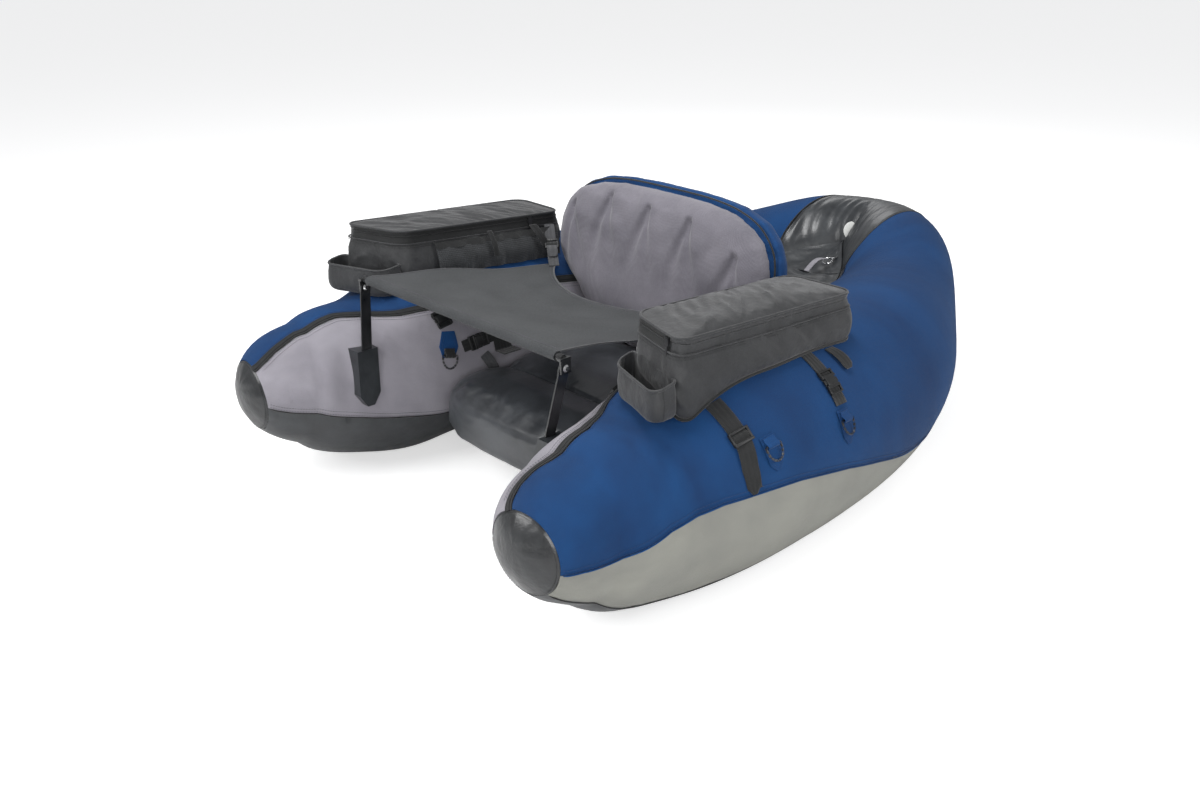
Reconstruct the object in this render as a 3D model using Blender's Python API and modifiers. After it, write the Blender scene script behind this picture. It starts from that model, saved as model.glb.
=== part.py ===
"""Float tube: a U-shaped inflated fishing craft with a hung seat, a backrest, a stripping apron on a lift-out bar
and two zipped side bags. Metres, +Z up. The open noses point to -Y and the closed stern to +Y. The craft rests on
the keels of its two tubes, with the origin on the floor under the middle of its box. Left is +X, the left hand of
someone who sits in it."""

import math

import bmesh
import bpy
import numpy
from mathutils import Matrix, Vector
from mathutils.bvhtree import BVHTree

# Driving sizes of the whole craft
OVERALL_LENGTH = 1.42
OVERALL_WIDTH = 1.094
TUBE_DIAMETER = 0.348

# Walls and clearances
COVER_THICKNESS = 0.0012
BLADDER_THICKNESS = 0.0010
BLADDER_SLACK = 0.0062
WEBBING_THICKNESS = 0.0018
SEAM_GAP = 0.0008
CONTACT_GAP = 0.0004
FLOOR_FLAT_DEPTH = 0.0020

# Cover panels
ZIP_WIDTH = 0.016
STERN_SEAM_HALF_WIDTH = 0.080
CAP_SEAM_ANGLE = 39.0
CAP_SEAM_TILT = 11.0

# Air valve
VALVE_RADIUS = 0.0085
VALVE_CAP_RADIUS = 0.0125
VALVE_CAP_HEIGHT = 0.009
VALVE_FROM_STERN_SEAM = 0.175
VALVE_ANGLE = -78.0

# Seat cushion
SEAT_FRONT = -0.455
SEAT_REAR = -0.035
SEAT_ABOVE_AXIS = 0.018
SEAT_HEIGHT = 0.130
SEAT_TOP = TUBE_DIAMETER / 2 + SEAT_ABOVE_AXIS
SEAT_BOTTOM = SEAT_TOP - SEAT_HEIGHT
SEAT_MAX_HALF_WIDTH = 0.236
SEAT_TUBE_CLEARANCE = 0.0009
SEAT_CHANNEL_DEPTH = 0.010
SEAT_CHANNEL_WIDTH = 0.035
SEAT_CHANNEL_FROM_FRONT = 0.150

# Backrest
BACKREST_HINGE_Y = -0.080
BACKREST_SINK = 0.0072
BACKREST_HINGE_Z = SEAT_TOP - BACKREST_SINK
BACKREST_LEAN = 9.0
BACKREST_HEIGHT = 0.315
BACKREST_BAG_ROOM = 0.100
BACKREST_FRONT_DEPTH = 0.046
BACKREST_REAR_DEPTH = 0.058
BACKREST_PLEAT_DEPTH = 0.0075
BACKREST_RECLINE = 10.0
BACKREST_PLEAT_COUNT = 5
BACKREST_TUBE_CLEARANCE = 0.005

# Apron and its bar
BAR_FROM_NOSE = 0.198
BAR_Y = BAR_FROM_NOSE - OVERALL_LENGTH / 2
BAR_ABOVE_TUBE = 0.021
BAR_Z = TUBE_DIAMETER + BAR_ABOVE_TUBE
BAR_PAST_RIVET = 0.001
BAR_DIAMETER = 0.012
LUG_THICKNESS = 0.004
LUG_WIDTH = 0.020
LUG_DROP = 0.022
LEG_WIDTH = 0.019
LEG_THICKNESS = 0.003
LEG_LEAN = 9.5
RIVET_DROP = 0.0140
RIVET_RADIUS = 0.0028
RIVET_HEAD_RADIUS = 0.0058
RIVET_HEAD_HEIGHT = 0.0026
APRON_THICKNESS = 0.0012
APRON_HEM_CLEARANCE = 0.0006
APRON_REAR_Y = -0.112
APRON_DROP = 0.051
APRON_REAR_Z = BAR_Z - APRON_DROP
APRON_TAPER = 0.018
APRON_REAR_CUT = 0.120
APRON_SAG = 0.010
APRON_BAR_SHORTFALL = 0.014

# Bar pocket
POCKET_WIDTH = 0.040
POCKET_HEIGHT = 0.094
POCKET_POINT = 0.017
POCKET_FRONT_WALL = 0.0016
POCKET_SLOT_CLEARANCE = 0.0006

# Side bags
BAG_LENGTH = 0.382
BAG_TOP_WIDTH = 0.131
BAG_FLARE = 0.018
BAG_INSET = 0.001
BAG_CENTRE_X = (OVERALL_WIDTH - TUBE_DIAMETER) / 2 - BAG_INSET
BACKREST_HALF_WIDTH = BAG_CENTRE_X - BACKREST_BAG_ROOM
BAG_FRONT_Y = -0.426
BAG_RIM_ABOVE_TUBE = 0.0665
BAG_RIM_Z = TUBE_DIAMETER + BAG_RIM_ABOVE_TUBE
BAG_PITCH = 3.5
BAG_TOE_OUT = -1.3
BAG_FRONT_SLANT = 18.0
BAG_WALL = 0.0028
BAG_LID_HEIGHT = 0.020
CUP_POCKET_WIDTH = 0.130
CUP_POCKET_DEPTH = 0.044
CUP_POCKET_HEIGHT = 0.056
CUP_POCKET_BELOW_RIM = 0.050
CUP_POCKET_WALL = 0.0022

# Zip slider on each bag
SLIDER_LENGTH = 0.012
SLIDER_WIDTH = 0.010
SLIDER_HEIGHT = 0.0045
PULL_LENGTH = 0.030
PULL_WIDTH = 0.006
PULL_THICKNESS = 0.0016

# Webbing and rings
STRAP_WIDTH = 0.025
RING_INNER_WIDTH = 0.025
RING_INNER_DEPTH = 0.020
RING_WIRE = 0.0040
TAB_WIDTH = 0.023
TAB_LENGTH = 0.054
TAB_POINT = 0.012
HARNESS_TAB_WIDTH = 0.036
HARNESS_TAB_LENGTH = 0.044
BUCKLE_LENGTH = 0.040
BUCKLE_WIDTH = 0.030
BUCKLE_HEIGHT = 0.0065
SEAT_STRAP_WIDTH = 0.040

# Storage deck behind the backrest
DECK_THICKNESS = 0.0016
DECK_FRONT_Y = 0.062
DECK_REAR_Y = 0.360
DECK_FRONT_DROP = 0.116
DECK_REAR_DROP = 0.080
DECK_FRONT_Z = TUBE_DIAMETER - DECK_FRONT_DROP
DECK_REAR_Z = TUBE_DIAMETER - DECK_REAR_DROP
DECK_SAG = 0.016

# The tube's centreline, from the nose to the middle of the stern. Each row has the distance from the middle plane
# as a share of the tube spread, the place along the craft as a share of its run, the keel's height as a share of
# the tube radius and the radius as a share of that radius.
TUBE_STATION_SHARES = [
    (1.019, 0.000, 0.402, 0.586),
    (0.992, 0.113, 0.057, 0.856),
    (1.000, 0.231, 0.000, 1.000),
    (0.987, 0.374, 0.000, 1.000),
    (0.914, 0.527, 0.000, 0.971),
    (0.759, 0.682, 0.115, 0.914),
    (0.534, 0.830, 0.471, 0.724),
    (0.257, 0.947, 0.730, 0.684),
    (0.000, 1.000, 0.897, 0.592),
]

# Seams of the cover as (station, angle in degrees from the top, outwards positive). Stations below 0 lie on the
# rounded nose, where -1 is its tip.
OUTER_SEAM = [(-0.6, 118), (-0.35, 104), (-0.1, 96), (0.1, 90), (0.5, 80), (0.9, 76), (1.3, 76), (1.7, 79),
              (2.2, 83), (2.8, 90), (3.3, 98), (3.8, 108), (4.6, 120), (5.6, 130), (8.0, 138)]
KEEL_OUTER_SEAM = [(-0.6, 152), (0.0, 144), (4.0, 144), (6.0, 152), (8.0, 158)]
KEEL_INNER_SEAM = [(-0.6, -107), (0.0, -103), (0.5, -105), (0.95, -108), (1.4, -114), (2.0, -118), (5.0, -122),
                   (8.0, -126)]
ZIP_SEAM = [(-0.62, -42), (-0.37, -30), (-0.11, -20), (0.4, -17), (0.86, -25), (1.3, -37), (1.7, -44), (2.5, -47),
            (5.0, -48), (8.0, -54)]

UP = Vector((0.0, 0.0, 1.0))
STERN_STATION = len(TUBE_STATION_SHARES) - 1
TUBE_RADIUS = TUBE_DIAMETER / 2
FULL_TURN = 2 * math.pi
EVEN_SHARE = 0.5


def remove_all_objects():
    for old in list(bpy.data.objects):
        bpy.data.objects.remove(old)


def make_collection(name):
    collection = bpy.data.collections.new(name)
    bpy.context.scene.collection.children.link(collection)
    return collection


def make_material(name, colour, roughness, metallic=0.0):
    material = bpy.data.materials.new(name)
    material.use_nodes = True
    shader = material.node_tree.nodes["Principled BSDF"]
    shader.inputs["Base Color"].default_value = (*colour, 1.0)
    shader.inputs["Roughness"].default_value = roughness
    shader.inputs["Metallic"].default_value = metallic
    material.diffuse_color = (*colour, 1.0)
    return material


def add_object(name, mesh_data, material):
    piece = bpy.data.objects.new(name, mesh_data)
    parts.objects.link(piece)
    piece.data.materials.append(material)
    return piece


def mesh_from(name, bm):
    data = bpy.data.meshes.new(name)
    bm.to_mesh(data)
    bm.free()
    return data


def smooth(piece, angle=40.0):
    piece.data.shade_smooth()
    piece.data.set_sharp_from_angle(angle=math.radians(angle))


def thicken(piece, thickness, side=-1.0):
    wall = piece.modifiers.new("Wall", 'SOLIDIFY')
    wall.thickness = thickness
    wall.offset = side
    return piece


def cut_away(piece, cutter):
    cut = piece.modifiers.new("Cut", 'BOOLEAN')
    cut.operation = 'DIFFERENCE'
    cut.object = cutter
    cut.solver = 'EXACT'


def as_cutter(cutter):
    for owner in cutter.users_collection:
        owner.objects.unlink(cutter)
    cutters.objects.link(cutter)
    cutter.hide_render = True
    cutter.display_type = 'WIRE'
    return cutter


def mirrored_to_right(piece):
    """A right-hand copy of a left-hand piece, with its own mesh and cutters."""
    twin = piece.copy()
    twin.data = piece.data.copy()
    twin.name = piece.name.replace("left_", "right_")
    twin.data.transform(Matrix.Diagonal((-1.0, 1.0, 1.0, 1.0)))
    twin.data.flip_normals()
    twin.location.x = -piece.location.x
    for owner in piece.users_collection:
        owner.objects.link(twin)
    for modifier in twin.modifiers:
        if modifier.type == 'BOOLEAN':
            modifier.object = mirrored_to_right(modifier.object)
    return twin


def set_origin(piece, origin):
    """Moves the object's origin, such as a joint's axis, and leaves its shape where it is."""
    piece.data.transform(Matrix.Translation(-Vector(origin)))
    piece.location = origin
    return piece


def grid_surface(columns, rows, place, closed=False):
    """An open surface from a grid primitive, with place(share along, share across) for each vertex."""
    bm = bmesh.new()
    bmesh.ops.create_grid(bm, x_segments=columns, y_segments=rows, size=EVEN_SHARE)
    for vertex in bm.verts:
        along = round((vertex.co.x + EVEN_SHARE) * columns) / columns
        across = round((vertex.co.y + EVEN_SHARE) * rows) / rows
        vertex.co = place(along, across)
    if closed:
        bmesh.ops.remove_doubles(bm, verts=bm.verts, dist=MERGE_DISTANCE)
    return bm


def face_out(bm, inner_point):
    """Turns the surface's faces so that they point away from inner_point(centre)."""
    facing = sum(face.normal.dot(face.calc_center_median() - inner_point(face.calc_center_median()))
                 * face.calc_area() for face in (refresh(face) for face in bm.faces))
    if facing < 0:
        bmesh.ops.reverse_faces(bm, faces=bm.faces)


def refresh(face):
    face.normal_update()
    return face


MERGE_DISTANCE = COVER_THICKNESS / 40


# Tube shape

def spline_through(values):
    """A natural cubic curve through evenly spaced values, as a function of their index."""
    count = len(values)
    system = numpy.eye(count)
    target = numpy.zeros(count)
    for i in range(1, count - 1):
        system[i, i - 1:i + 2] = (1, 4, 1)
        target[i] = 6 * (values[i - 1] - 2 * values[i] + values[i + 1])
    bend = numpy.linalg.solve(system, target)

    def value_at(index):
        i = min(max(int(math.floor(index)), 0), count - 2)
        b = index - i
        a = 1 - b
        return float(a * values[i] + b * values[i + 1] + ((a ** 3 - a) * bend[i] + (b ** 3 - b) * bend[i + 1]) / 6)

    return value_at


def tube_curves():
    spread = OVERALL_WIDTH / 2 - TUBE_RADIUS
    nose_y = -OVERALL_LENGTH / 2 + TUBE_STATION_SHARES[0][3] * TUBE_RADIUS
    stern_y = OVERALL_LENGTH / 2 - TUBE_STATION_SHARES[-1][3] * TUBE_RADIUS
    across = [row[0] * spread for row in TUBE_STATION_SHARES]
    along = [nose_y + row[1] * (stern_y - nose_y) for row in TUBE_STATION_SHARES]
    radius = [row[3] * TUBE_RADIUS for row in TUBE_STATION_SHARES]
    height = [row[2] * TUBE_RADIUS + r - FLOOR_FLAT_DEPTH for row, r in zip(TUBE_STATION_SHARES, radius)]
    across_all = across + [-value for value in across[-2::-1]]
    return (spline_through(across_all), spline_through(along + along[-2::-1]),
            spline_through(height + height[-2::-1]), spline_through(radius + radius[-2::-1]))


tube_across, tube_along, tube_height, tube_radius = tube_curves()
FRAME_STEP = 0.01
STERN_SEARCH_START_SHARE = 0.62
STERN_SEARCH_STEPS = 40


def tube_axis(station):
    return Vector((tube_across(station), tube_along(station), tube_height(station)))


def tube_speed(station):
    """The length of tube for each station."""
    return (tube_axis(station + FRAME_STEP) - tube_axis(station - FRAME_STEP)).length / (2 * FRAME_STEP)


def tube_frame(station):
    """The centreline's point, its direction to the stern, and the ring's up and outward directions."""
    ahead = min(station + FRAME_STEP, 2 * STERN_STATION)
    behind = max(station - FRAME_STEP, 0.0)
    forward = (tube_axis(ahead) - tube_axis(behind)).normalized()
    up = (UP - forward * forward.z).normalized()
    return tube_axis(station), forward, up, forward.cross(up)


def tube_point(station, angle, lift=0.0, floor=0.0):
    """A point of the cover's outside. The angle is in degrees from the top, and lift is along the normal."""
    centre, forward, up, out = tube_frame(max(station, 0.0))
    turn = math.radians(angle)
    ray = up * math.cos(turn) + out * math.sin(turn)
    if station < 0:
        polar = (1 + station) * math.pi / 2
        ray = ray * math.sin(polar) - forward * math.cos(polar)
    point = centre + ray * (tube_radius(max(station, 0.0)) + lift)
    point.z = max(point.z, floor)
    return point


def tube_normal(station, angle):
    centre, forward, up, out = tube_frame(max(station, 0.0))
    turn = math.radians(angle)
    return up * math.cos(turn) + out * math.sin(turn)


def nearest_axis_point(point):
    best = min((i / 8 for i in range(16 * STERN_STATION + 1)),
               key=lambda station: (tube_axis(station) - point).length)
    return tube_axis(best)


def seam_angle(seam, station):
    return float(numpy.interp(station, [row[0] for row in seam], [row[1] for row in seam]))


def zip_outer_angle(station):
    return seam_angle(ZIP_SEAM, station) + math.degrees(ZIP_WIDTH / ring_radius(station))


def ring_radius(station):
    if station < 0:
        return tube_radius(0.0) * math.sin((1 + station) * math.pi / 2)
    return tube_radius(station)


def cap_seam_station(angle):
    return (CAP_SEAM_ANGLE - CAP_SEAM_TILT * math.cos(math.radians(angle))) / 90 - 1


def station_at_x(angle, x, lift=0.0):
    """The first station at which the cover's surface at this angle comes as near to the middle plane as x."""
    low = STERN_STATION * STERN_SEARCH_START_SHARE
    step = (STERN_STATION - low) / STERN_SEARCH_STEPS
    while low + step < STERN_STATION and tube_point(low + step, angle, lift).x > x:
        low += step
    high = low + step
    for _ in range(STERN_SEARCH_STEPS):
        middle = (low + high) / 2
        if tube_point(middle, angle, lift).x > x:
            low = middle
        else:
            high = middle
    return (low + high) / 2


PANEL_COLUMNS = 20
DOME_COLUMNS = 2
BLEND_STATION = 4.0
SIDE_ANGLE = 90.0
NOMINAL_END_STATION = 7.0


def panel_station(share, angle, start, seam_x):
    """The station of a panel's column: the first columns lie on the nose, and the last one on the stern seam."""
    column = share * PANEL_COLUMNS
    if column < DOME_COLUMNS:
        return start * (1 - column / DOME_COLUMNS)
    base = (column - DOME_COLUMNS) / (PANEL_COLUMNS - DOME_COLUMNS) * NOMINAL_END_STATION
    if base <= BLEND_STATION:
        return base
    end = station_at_x(angle, seam_x)
    return BLEND_STATION + (base - BLEND_STATION) * (end - BLEND_STATION) / (NOMINAL_END_STATION - BLEND_STATION)


# Covers

def cover_panel(name, low_seam, high_seam, rows, material, lift=0.0, thickness=COVER_THICKNESS):
    """A sewn panel of the tube's cover between two seams, from the nose cap to the stern cover."""
    half_gap = SEAM_GAP / 2

    def place(share, across):
        rough = panel_station(share, SIDE_ANGLE, cap_seam_station(SIDE_ANGLE), STERN_SEAM_HALF_WIDTH)
        gap_angle = math.degrees(half_gap / ring_radius(rough))
        low = low_seam(rough) + gap_angle
        high = high_seam(rough) - gap_angle
        angle = low + (high - low) * across
        start = cap_seam_station(angle) + half_gap / tube_radius(0.0)
        station = panel_station(share, angle, start, STERN_SEAM_HALF_WIDTH + half_gap)
        return tube_point(station, angle, lift)

    bm = grid_surface(PANEL_COLUMNS, rows, place)
    face_out(bm, nearest_axis_point)
    piece = add_object(name, mesh_from(name, bm), material)
    thicken(piece, thickness)
    smooth(piece)
    return piece


def make_covers():
    def outer_seam(station):
        return seam_angle(OUTER_SEAM, station)

    def keel_outer_seam(station):
        return seam_angle(KEEL_OUTER_SEAM, station)

    def keel_inner_seam(station):
        return seam_angle(KEEL_INNER_SEAM, station)

    def keel_inner_seam_from_below(station):
        return seam_angle(KEEL_INNER_SEAM, station) + 360

    def zip_seam(station):
        return seam_angle(ZIP_SEAM, station)

    top = cover_panel("left_top_cover", zip_outer_angle, outer_seam, 10, blue_fabric)
    lower = cover_panel("left_lower_cover", outer_seam, keel_outer_seam, 4, pale_fabric)
    keel = cover_panel("left_bottom_cover", keel_outer_seam, keel_inner_seam_from_below, 7, black_vinyl)
    inner = cover_panel("left_inner_cover", keel_inner_seam, zip_seam, 6, grey_fabric)
    zipper = cover_panel("left_cover_zip", zip_seam, zip_outer_angle, 1, black_webbing)
    return top, lower, keel, inner, zipper


CAP_COLUMNS = 3
CAP_ROWS = 18


def make_nose_cap():
    half_gap = SEAM_GAP / 2

    def place(share, across):
        angle = across * 360
        seam = cap_seam_station(angle) - half_gap / tube_radius(0.0)
        return tube_point(seam + (-1 - seam) * share, angle)

    bm = grid_surface(CAP_COLUMNS, CAP_ROWS, place, closed=True)
    face_out(bm, nearest_axis_point)
    piece = add_object("left_nose_cap", mesh_from("left_nose_cap", bm), black_vinyl)
    thicken(piece, COVER_THICKNESS)
    smooth(piece)
    return piece


STERN_COLUMNS = 6
STERN_ROWS = 22


def make_stern_cover():
    seam_x = STERN_SEAM_HALF_WIDTH - SEAM_GAP / 2

    def place(share, across):
        angle = across * 360
        x = seam_x * (1 - 2 * share)
        station = station_at_x(angle, abs(x))
        if x < 0:
            station = 2 * STERN_STATION - station
        point = tube_point(station, angle)
        point.x = x
        return point

    bm = grid_surface(STERN_COLUMNS, STERN_ROWS, place, closed=True)
    face_out(bm, nearest_axis_point)
    piece = add_object("stern_cover", mesh_from("stern_cover", bm), black_vinyl)
    thicken(piece, COVER_THICKNESS)
    smooth(piece)
    return piece


BLADDER_COLUMNS = 19
BLADDER_ROWS = 12


def make_bladder():
    """The left air bladder: a hollow skin whose only opening is the hole for its valve."""
    inset = COVER_THICKNESS + BLADDER_SLACK
    floor = COVER_THICKNESS + CONTACT_GAP
    tip = -1.0

    def place(share, across):
        angle = across * 360
        column = round(share * BLADDER_COLUMNS)
        if column == BLADDER_COLUMNS:
            middle = tube_axis(STERN_STATION)
            middle.x = CONTACT_GAP
            return middle
        base = tip + column / (BLADDER_COLUMNS - 1) * (NOMINAL_END_STATION - tip)
        if base > BLEND_STATION:
            end = station_at_x(angle, CONTACT_GAP, -inset)
            base = BLEND_STATION + (base - BLEND_STATION) * (end - BLEND_STATION) / (
                NOMINAL_END_STATION - BLEND_STATION)
        return tube_point(base, angle, -inset, floor)

    bm = grid_surface(BLADDER_COLUMNS, BLADDER_ROWS, place, closed=True)
    face_out(bm, nearest_axis_point)
    piece = add_object("left_air_bladder", mesh_from("left_air_bladder", bm), clear_vinyl)
    thicken(piece, BLADDER_THICKNESS)
    smooth(piece)
    return piece


def turned(name, profile, material, steps=12):
    """A body turned about its own +Z axis, from (radius, height) points that run down its outer side."""
    bm = bmesh.new()
    points = [bm.verts.new((radius, 0.0, height)) for radius, height in profile]
    for a, b in zip(points, points[1:]):
        bm.edges.new((a, b))
    piece = add_object(name, mesh_from(name, bm), material)
    turn = piece.modifiers.new("Turn", 'SCREW')
    turn.steps = steps
    turn.render_steps = steps
    turn.use_merge_vertices = True
    turn.merge_threshold = MERGE_DISTANCE
    turn.use_smooth_shade = False
    return piece


def aim(piece, origin, direction):
    piece.rotation_mode = 'QUATERNION'
    piece.rotation_quaternion = Vector(direction).to_track_quat('Z', 'Y')
    piece.location = origin


def settle(piece):
    """Applies the piece's modifiers and place, so that its mesh lies in the craft's frame."""
    bpy.context.view_layer.update()
    evaluated = piece.evaluated_get(bpy.context.evaluated_depsgraph_get())
    data = bpy.data.meshes.new_from_object(evaluated)
    data.transform(piece.matrix_world)
    piece.modifiers.clear()
    piece.data = data
    piece.matrix_world = Matrix.Identity(4)
    return piece


def cylinder(name, radius, depth, material, segments=20):
    bm = bmesh.new()
    bmesh.ops.create_cone(bm, cap_ends=True, segments=segments, radius1=radius, radius2=radius, depth=depth)
    return add_object(name, mesh_from(name, bm), material)


VALVE_NECK_DEPTH = 0.014
VALVE_BASE_HEIGHT = 0.0024
VALVE_BASE_RADIUS = 0.0150
VALVE_RIM_POINTS = 24


def panel_surface(panel):
    """The evaluated panel as a search tree, to seat a piece on its real faces."""
    bpy.context.view_layer.update()
    return BVHTree.FromObject(panel, bpy.context.evaluated_depsgraph_get())


def make_air_valve(inner_cover, bladder):
    surface = panel_surface(inner_cover)
    station = station_at_x(VALVE_ANGLE, STERN_SEAM_HALF_WIDTH)
    station -= VALVE_FROM_STERN_SEAM / tube_speed(station)
    ray = tube_normal(station, VALVE_ANGLE)
    point, normal = surface.ray_cast(tube_point(station, VALVE_ANGLE, TUBE_RADIUS / 4), -ray)[:2]
    side = normal.cross(UP).normalized()
    stand_off = 0.0
    for i in range(VALVE_RIM_POINTS):
        turn = FULL_TURN * i / VALVE_RIM_POINTS
        rim = point + (side * math.cos(turn) + side.cross(normal) * math.sin(turn)) * VALVE_BASE_RADIUS
        hit = surface.ray_cast(rim + normal * VALVE_NECK_DEPTH, -normal)[0]
        stand_off = max(stand_off, (hit - point).dot(normal))
    seat = stand_off + CONTACT_GAP
    profile = [
        (0.0, seat + VALVE_BASE_HEIGHT + VALVE_CAP_HEIGHT),
        (VALVE_CAP_RADIUS * 0.86, seat + VALVE_BASE_HEIGHT + VALVE_CAP_HEIGHT),
        (VALVE_CAP_RADIUS, seat + VALVE_BASE_HEIGHT + VALVE_CAP_HEIGHT * 0.8),
        (VALVE_CAP_RADIUS, seat + VALVE_BASE_HEIGHT + VALVE_CAP_HEIGHT * 0.2),
        (VALVE_CAP_RADIUS * 0.9, seat + VALVE_BASE_HEIGHT),
        (VALVE_BASE_RADIUS, seat + VALVE_BASE_HEIGHT),
        (VALVE_BASE_RADIUS, seat),
        (VALVE_RADIUS, seat),
        (VALVE_RADIUS, -VALVE_NECK_DEPTH),
        (0.0, -VALVE_NECK_DEPTH),
    ]
    valve = turned("left_air_valve", profile, grey_plastic)
    aim(valve, point, normal)
    settle(valve)
    smooth(valve)
    hole = cylinder("left_valve_hole", VALVE_RADIUS + CONTACT_GAP, 4 * VALVE_NECK_DEPTH, grey_plastic, 20)
    aim(hole, point, normal)
    settle(hole)
    as_cutter(hole)
    cut_away(inner_cover, hole)
    cut_away(bladder, hole)
    return valve


# Soft forms

SLICE_LIMIT_SHARE = 0.35


def tube_section_at(y):
    """The left tube's slice by an upright plane across the craft: its middle and its half sizes across and up."""
    low = 0.0
    high = STERN_STATION * 0.95
    for _ in range(40):
        middle = (low + high) / 2
        if tube_along(middle) < y:
            low = middle
        else:
            high = middle
    centre, forward, up, out = tube_frame(low)
    radius = tube_radius(low)
    return centre, radius / max(abs(forward.y), SLICE_LIMIT_SHARE), radius, low


def slide_to_tube(start, direction, station, clearance):
    """Moves a point along the direction, which points away from the tube, until it is clear of the cover."""
    point = Vector(start)
    for _ in range(SURFACE_SEARCH_STEPS):
        centre, forward, up, out = tube_frame(station)
        station += (point - centre).dot(forward) / tube_speed(station)
        ray = point - tube_axis(station)
        point -= direction * (ray.length - tube_radius(station) - clearance) / direction.dot(ray.normalized())
    return point


SURFACE_SEARCH_STEPS = 12
CREST_SHARE = 0.93


def inner_reach(y, z, clearance):
    """How far from the middle plane a piece at (y, z) may reach before it meets the left tube."""
    centre, half_across, half_up, station = tube_section_at(y)
    rise = abs(z - centre.z) / (half_up + clearance)
    if rise >= 1:
        return centre.x
    guess = centre.x - (half_across + clearance) * math.sqrt(1 - rise ** 2)
    if rise > CREST_SHARE:
        return guess
    return slide_to_tube((guess, y, z), Vector((-1.0, 0.0, 0.0)), station, clearance).x


def rounded_box_direction(direction, power):
    """The point in this direction on a box of half size 1 whose edges are rounded by the power."""
    total = sum(abs(value) ** power for value in direction)
    return direction * total ** (-1 / power)


def sphere_mesh(columns, rows, pole):
    """A unit sphere with its poles on the given axis."""
    bm = bmesh.new()
    bmesh.ops.create_uvsphere(bm, u_segments=columns, v_segments=rows, radius=1.0)
    if pole == 'X':
        bmesh.ops.rotate(bm, verts=bm.verts, matrix=Matrix.Rotation(math.pi / 2, 3, 'Y'))
    if pole == 'Y':
        bmesh.ops.rotate(bm, verts=bm.verts, matrix=Matrix.Rotation(math.pi / 2, 3, 'X'))
    return bm


SEAT_COLUMNS = 24
SEAT_ROWS = 14
SEAT_ROUNDING_POWER = 4.2


def make_seat():
    """The hung seat: an inflated cushion, wedged between the tubes, with one welded channel across it."""
    bm = sphere_mesh(SEAT_COLUMNS, SEAT_ROWS, 'X')
    half_length = (SEAT_REAR - SEAT_FRONT) / 2
    half_height = (SEAT_TOP - SEAT_BOTTOM) / 2
    for vertex in bm.verts:
        unit = rounded_box_direction(vertex.co, SEAT_ROUNDING_POWER)
        y = (SEAT_FRONT + SEAT_REAR) / 2 + unit.y * half_length
        z = (SEAT_TOP + SEAT_BOTTOM) / 2 + unit.z * half_height
        from_channel = (y - SEAT_FRONT - SEAT_CHANNEL_FROM_FRONT) / SEAT_CHANNEL_WIDTH
        if unit.z > 0:
            z -= SEAT_CHANNEL_DEPTH * math.exp(-from_channel ** 2) * unit.z
        reach = min(inner_reach(y, z, SEAT_TUBE_CLEARANCE), SEAT_MAX_HALF_WIDTH)
        vertex.co = Vector((unit.x * reach, y, z))
    piece = add_object("seat_cushion", mesh_from("seat_cushion", bm), black_vinyl)
    smooth(piece, 60)
    return piece


BACKREST_COLUMNS = 32
BACKREST_ROWS = 12
BACKREST_OUTLINE_POWER = 3.4
BACKREST_BACK_SPREAD_SHARE = 1.035
BACKREST_CROWN_POWER = 3.4
BACKREST_LOWER_SHARE = 0.80
BACKREST_NECK_SHARE = 0.59
BACKREST_FOOT_SHARE = 0.45
BACKREST_PLEAT_TOP_SHARE = 0.80
BACKREST_PLEAT_SPREAD_SHARE = 0.38


def backrest_half_width(height_share):
    """The outline's half width: full near the top, and narrower down between the tubes."""
    narrow = BACKREST_HALF_WIDTH * BACKREST_LOWER_SHARE
    blend = min(max(height_share / BACKREST_NECK_SHARE, 0.0), 1.0)
    blend = blend * blend * (3 - 2 * blend)
    return narrow + (BACKREST_HALF_WIDTH - narrow) * blend


def backrest_place(depth, height, lean):
    """A point's place along the craft and its height, for a backrest that leans back by this angle."""
    turn = math.radians(lean)
    y = BACKREST_HINGE_Y + depth * math.cos(turn) + height * math.sin(turn)
    z = BACKREST_HINGE_Z - depth * math.sin(turn) + height * math.cos(turn)
    return y, z


def backrest_point(flat_x, flat_z, crown, depth, pleated):
    height_share = (flat_z + 1) / 2
    spread = 1.0 if pleated else BACKREST_BACK_SPREAD_SHARE
    height = height_share * BACKREST_HEIGHT * spread
    filled = min(height_share / BACKREST_NECK_SHARE, 1.0)
    into = depth * crown * (BACKREST_FOOT_SHARE + (1 - BACKREST_FOOT_SHARE) * filled)
    if pleated:
        fold = max(math.cos(flat_x * math.pi * BACKREST_PLEAT_COUNT), 0.0)
        near_top = max(0.0, 1 - abs(height_share - BACKREST_PLEAT_TOP_SHARE) / BACKREST_PLEAT_SPREAD_SHARE)
        into += BACKREST_PLEAT_DEPTH * fold * near_top * crown
    y, z = backrest_place(into, height, BACKREST_LEAN)
    reclined_y, reclined_z = backrest_place(into, height, BACKREST_LEAN + BACKREST_RECLINE)
    room = min(tube_room(y, z), tube_room(reclined_y, reclined_z))
    return Vector((flat_x * min(backrest_half_width(height_share) * spread, room), y, z))


def tube_room(y, z):
    """Half the free width between the tubes at (y, z), which has no limit above them."""
    if z > tube_section_at(y)[0].z + TUBE_RADIUS + BACKREST_TUBE_CLEARANCE:
        return OVERALL_WIDTH
    return inner_reach(y, z, BACKREST_TUBE_CLEARANCE)


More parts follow.
